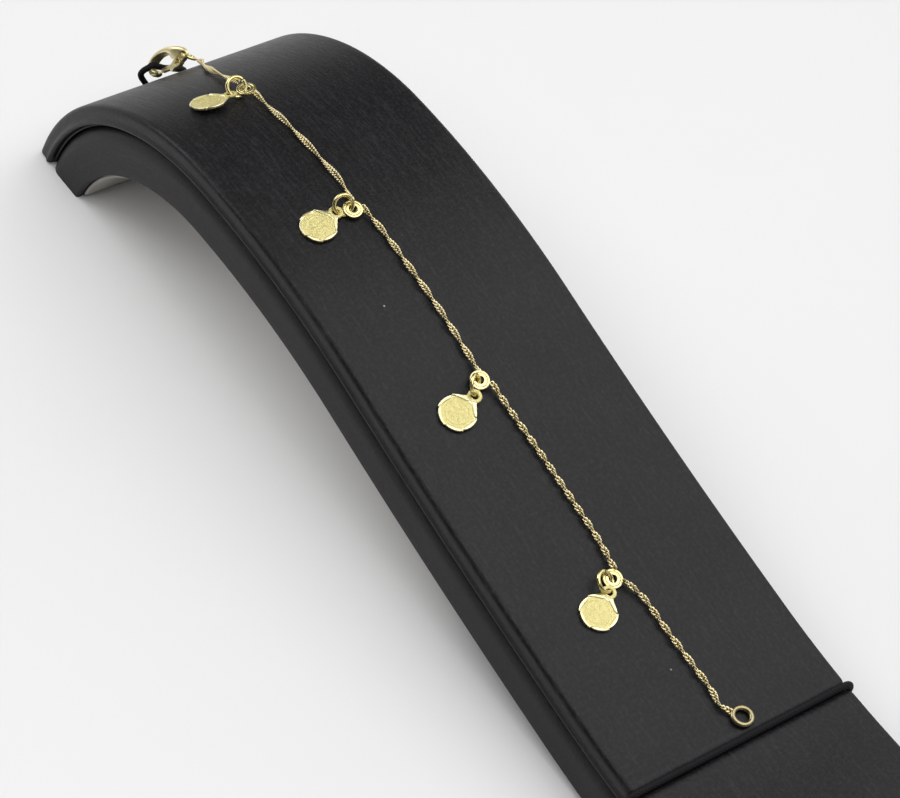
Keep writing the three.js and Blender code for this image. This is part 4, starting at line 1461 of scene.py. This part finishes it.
@dataclass
class Bracelet:
    """The bracelet from its clasp to its end ring."""

    line: RampLine
    end_x: float = 2.3
    end_along: float = 201.5
    end_outer: float = 2.17
    end_wire: float = 0.5
    places: tuple = (
        CharmPlace(-3.53, 52.1, -3, 3.0, 30, -5, coin_roll=9, coin_rise=0.5),
        CharmPlace(-4.85, 88.0, -11, 2.9, 40, 14),
        CharmPlace(-3.45, 127.7, 42, 3.1, 34, 17, coin_scale=1.02),
        CharmPlace(-3.0, 170.0, 42, 2.4, 58, 31),
    )

    def chains(self) -> list[ChainLength]:
        """The five lengths, clasp to end ring, by points (x, along, rise) of their routes."""
        return [
            ChainLength(1,
                        ((2.2, 26.9, 1.2), (0.9, 30.2, 1.0), (-1.2, 35.2, 1.0), (-2.4, 41.0, 1.0),
                            (-2.7, 47.9, 1.3)), 42.2, 9.0),
            ChainLength(2, ((-2.6, 53.9, 1.2), (-3.0, 58.0, 1.0), (-3.05, 66.0, 1.0),
                            (-2.8, 76.0, 1.0),
                            (-2.75, 81.5, 1.0), (-3.5, 85.4, 1.35)), 58.0, 8.5),
            ChainLength(3, ((-2.75, 89.6, 1.35), (-2.3, 93.0, 1.0), (-2.2, 103.0, 1.0),
                            (-2.05, 113.0, 1.0),
                            (-2.1, 121.0, 1.0), (-2.4, 125.4, 1.4)), 91.1, 4.8),
            ChainLength(4, ((-1.5, 130.1, 1.4), (-1.2, 134.0, 1.0), (-0.85, 143.0, 1.0),
                            (-0.75, 153.0, 1.0),
                            (-0.85, 162.5, 1.0), (-1.6, 167.7, 1.35)), 131.3, 2.93),
            ChainLength(5, ((-1.0, 172.2, 1.35), (0.0, 175.2, 1.0), (0.15, 182.0, 1.0),
                            (0.45, 190.0, 1.0),
                            (0.45, 195.2, 1.0), (0.0, 197.6, 1.0), (0.65, 199.3, 1.0)), 174.2, 2.8,
                            4.0),
        ]

    def build(self, finishes: Finishes) -> None:
        """Makes the chain, the charms and the end ring."""
        for chain in self.chains():
            piece = chain.build(self.line, finishes.chain)
            settle(piece, "display", "chain_gold", f"chain_{chain.number}")
        for number, place in enumerate(self.places, 1):
            Charm(number, place).build(self.line, finishes)
        across, toe, _ = self.line.frame(self.end_along)
        centre = self.line.on(self.end_x, self.end_along, GAP + self.end_wire - 0.2)
        ring = loose_ring("end_ring_wire", centre, across, -toe, self.end_outer - self.end_wire,
                          self.end_wire,
                          finishes.end)
        settle(ring, "display", "ring_gold", "end_ring")


# ---------------------------------------------------------------- studio


@dataclass
class Studio:
    """White table, a large soft light overhead and a dim surround, with the camera."""

    eye: tuple = (-280.997, -270.403, 432.693)
    right: tuple = (0.80071, -0.57793, 0.15765)
    ahead: tuple = (0.48978, 0.48007, -0.72777)
    lens: float = 128.53
    floor_size: float = 3.0
    floor_tone: tuple = (0.73, 0.73, 0.73)
    light_size: tuple = (1.3, 1.15)
    light_height: float = 0.95
    light_shift: tuple = (0.5, -0.2)
    light_power: float = 9.4
    lift_power: float = 10.5
    fill_power: float = 5.5
    side_power: float = 2.6
    lift_side: float = -0.5
    lift_size: tuple = (1.4, 1.4)
    window_place: tuple = (-0.4, 1.0, 0.75)
    window_size: tuple = (0.9, 0.7)
    window_target: tuple = (0.0, 0.05, 0.0)
    strip_place: tuple = (1.2, 0.1, 0.6)
    strip_size: tuple = (1.4, 0.6)
    strip_target: tuple = (0.0, 0.0, 0.0)
    surround: tuple = (0.9, 0.1)
    horizon: tuple = (0.03, 0.22)
    dim_side: tuple = (-0.7, 0.1)
    dimming: tuple = (0.3, 1.0)

    def camera(self) -> None:
        """Makes the camera from its place, its right-hand direction and its line of sight."""
        ahead, right = unit(self.ahead), unit(self.right)
        up = np.cross(right, ahead)
        right = np.cross(ahead, up)
        matrix = np.eye(4)
        matrix[:3, :3] = np.stack([right, up, -ahead], axis=1)
        matrix[:3, 3] = np.array(self.eye) * MM
        data = bpy.data.cameras.new("camera")
        data.lens, data.sensor_width = self.lens, 36.0
        data.clip_start, data.clip_end = 0.01, 50.0
        camera = bpy.data.objects.new("camera", data)
        camera.matrix_world = Matrix(matrix.tolist())
        bpy.context.scene.collection.objects.link(camera)
        bpy.context.scene.camera = camera

    def floor(self) -> None:
        """A flat pale table with a faint mottle."""
        material, n, shader = start_material("pale_table")
        mottle = n.add("ShaderNodeGroup", node_tree=soft_mottle())
        n.tree.links.new(n.coordinates(Texture.SPACE), mottle.inputs["Vector"])
        mottle.inputs["Scale"].default_value = 6.0
        tone = self.floor_tone
        colour = n.mix(mottle.outputs["Value"], rgb(tone), rgb(tuple(c * 0.985 for c in tone)))
        n.tree.links.new(colour, shader.inputs["Base Color"])
        shader.inputs["Roughness"].default_value = 0.8
        shader.inputs["Specular IOR Level"].default_value = 0.15
        half = self.floor_size / 2
        mesh = bpy.data.meshes.new("table")
        mesh.from_pydata([(-half, -half, 0), (half, -half, 0), (half, half, 0), (-half, half, 0)],
                         [], [(0, 1, 2, 3)])
        mesh.materials.append(material)
        table = bpy.data.objects.new("table", mesh)
        bpy.context.scene.collection.objects.link(table)

    @staticmethod
    def area(name: str, place: Sequence[float], size: Sequence[float], power: float,
             mirrored: bool = True, towards: Optional[Sequence[float]] = None) -> None:
        """Adds a rectangular light.

        Args:
            name: name of the light.
            place: its middle.
            size: its width and height.
            power: its power in watts.
            mirrored: whether glossy surfaces show it.
            towards: where it faces; straight down if not given.
        """
        data = bpy.data.lights.new(name, "AREA")
        data.shape, data.size, data.size_y, data.energy = "RECTANGLE", size[0], size[1], power
        light = bpy.data.objects.new(name, data)
        light.location = place
        if towards is not None:
            light.rotation_mode = "QUATERNION"
            light.rotation_quaternion = (Vector(towards) - Vector(place)).to_track_quat("-Z", "Y")
        light.visible_glossy = mirrored
        bpy.context.scene.collection.objects.link(light)

    def lights(self) -> None:
        """One wide light overhead, weaker ones round it and a room pale at table height.

        The surround's strength falls from its first to its second value between two heights
        of the line of sight, and it is dimmed towards the left.
        """
        self.area("softbox", (*self.light_shift, self.light_height), self.light_size,
                  self.light_power)
        self.area("overhead_lift", (self.lift_side, 0.0, self.light_height), self.lift_size,
                  self.lift_power, False)
        self.area("far_window", self.window_place, self.window_size, self.fill_power, True,
                  self.window_target)
        self.area("right_strip", self.strip_place, self.strip_size, self.side_power, True,
                  self.strip_target)
        world = bpy.data.worlds.new("surround")
        world.use_nodes = True
        n = Nodes(world.node_tree)
        direction = n.add("ShaderNodeSeparateXYZ",
                          {0: n.add("ShaderNodeTexCoord").outputs["Generated"]})
        strength = n.math("MULTIPLY", n.spread(direction.outputs[2], *self.horizon, *self.surround),
                          n.spread(direction.outputs[0], *self.dim_side, *self.dimming))
        backdrop = world.node_tree.nodes["Background"]
        n.tree.links.new(strength, backdrop.inputs[1])
        backdrop.inputs[0].default_value = (1.0, 1.0, 1.0, 1.0)
        bpy.context.scene.world = world

    def build(self) -> None:
        """Sets up the camera, the table and the lights."""
        self.camera()
        self.floor()
        self.lights()
        bpy.context.scene.view_settings.view_transform = "Standard"


def main() -> None:
    """Builds the studio, the ramp, the clasp and the bracelet in order."""
    logging.basicConfig(level=logging.INFO, format="%(message)s")
    Studio().build()
    finishes = Finishes()
    line = RampLine()
    cord = NearCord(line)
    Ramp(line, cord).build(finishes)
    Clasp(line).build(finishes)
    Bracelet(line).build(finishes)


if __name__ == "__main__":
    main()
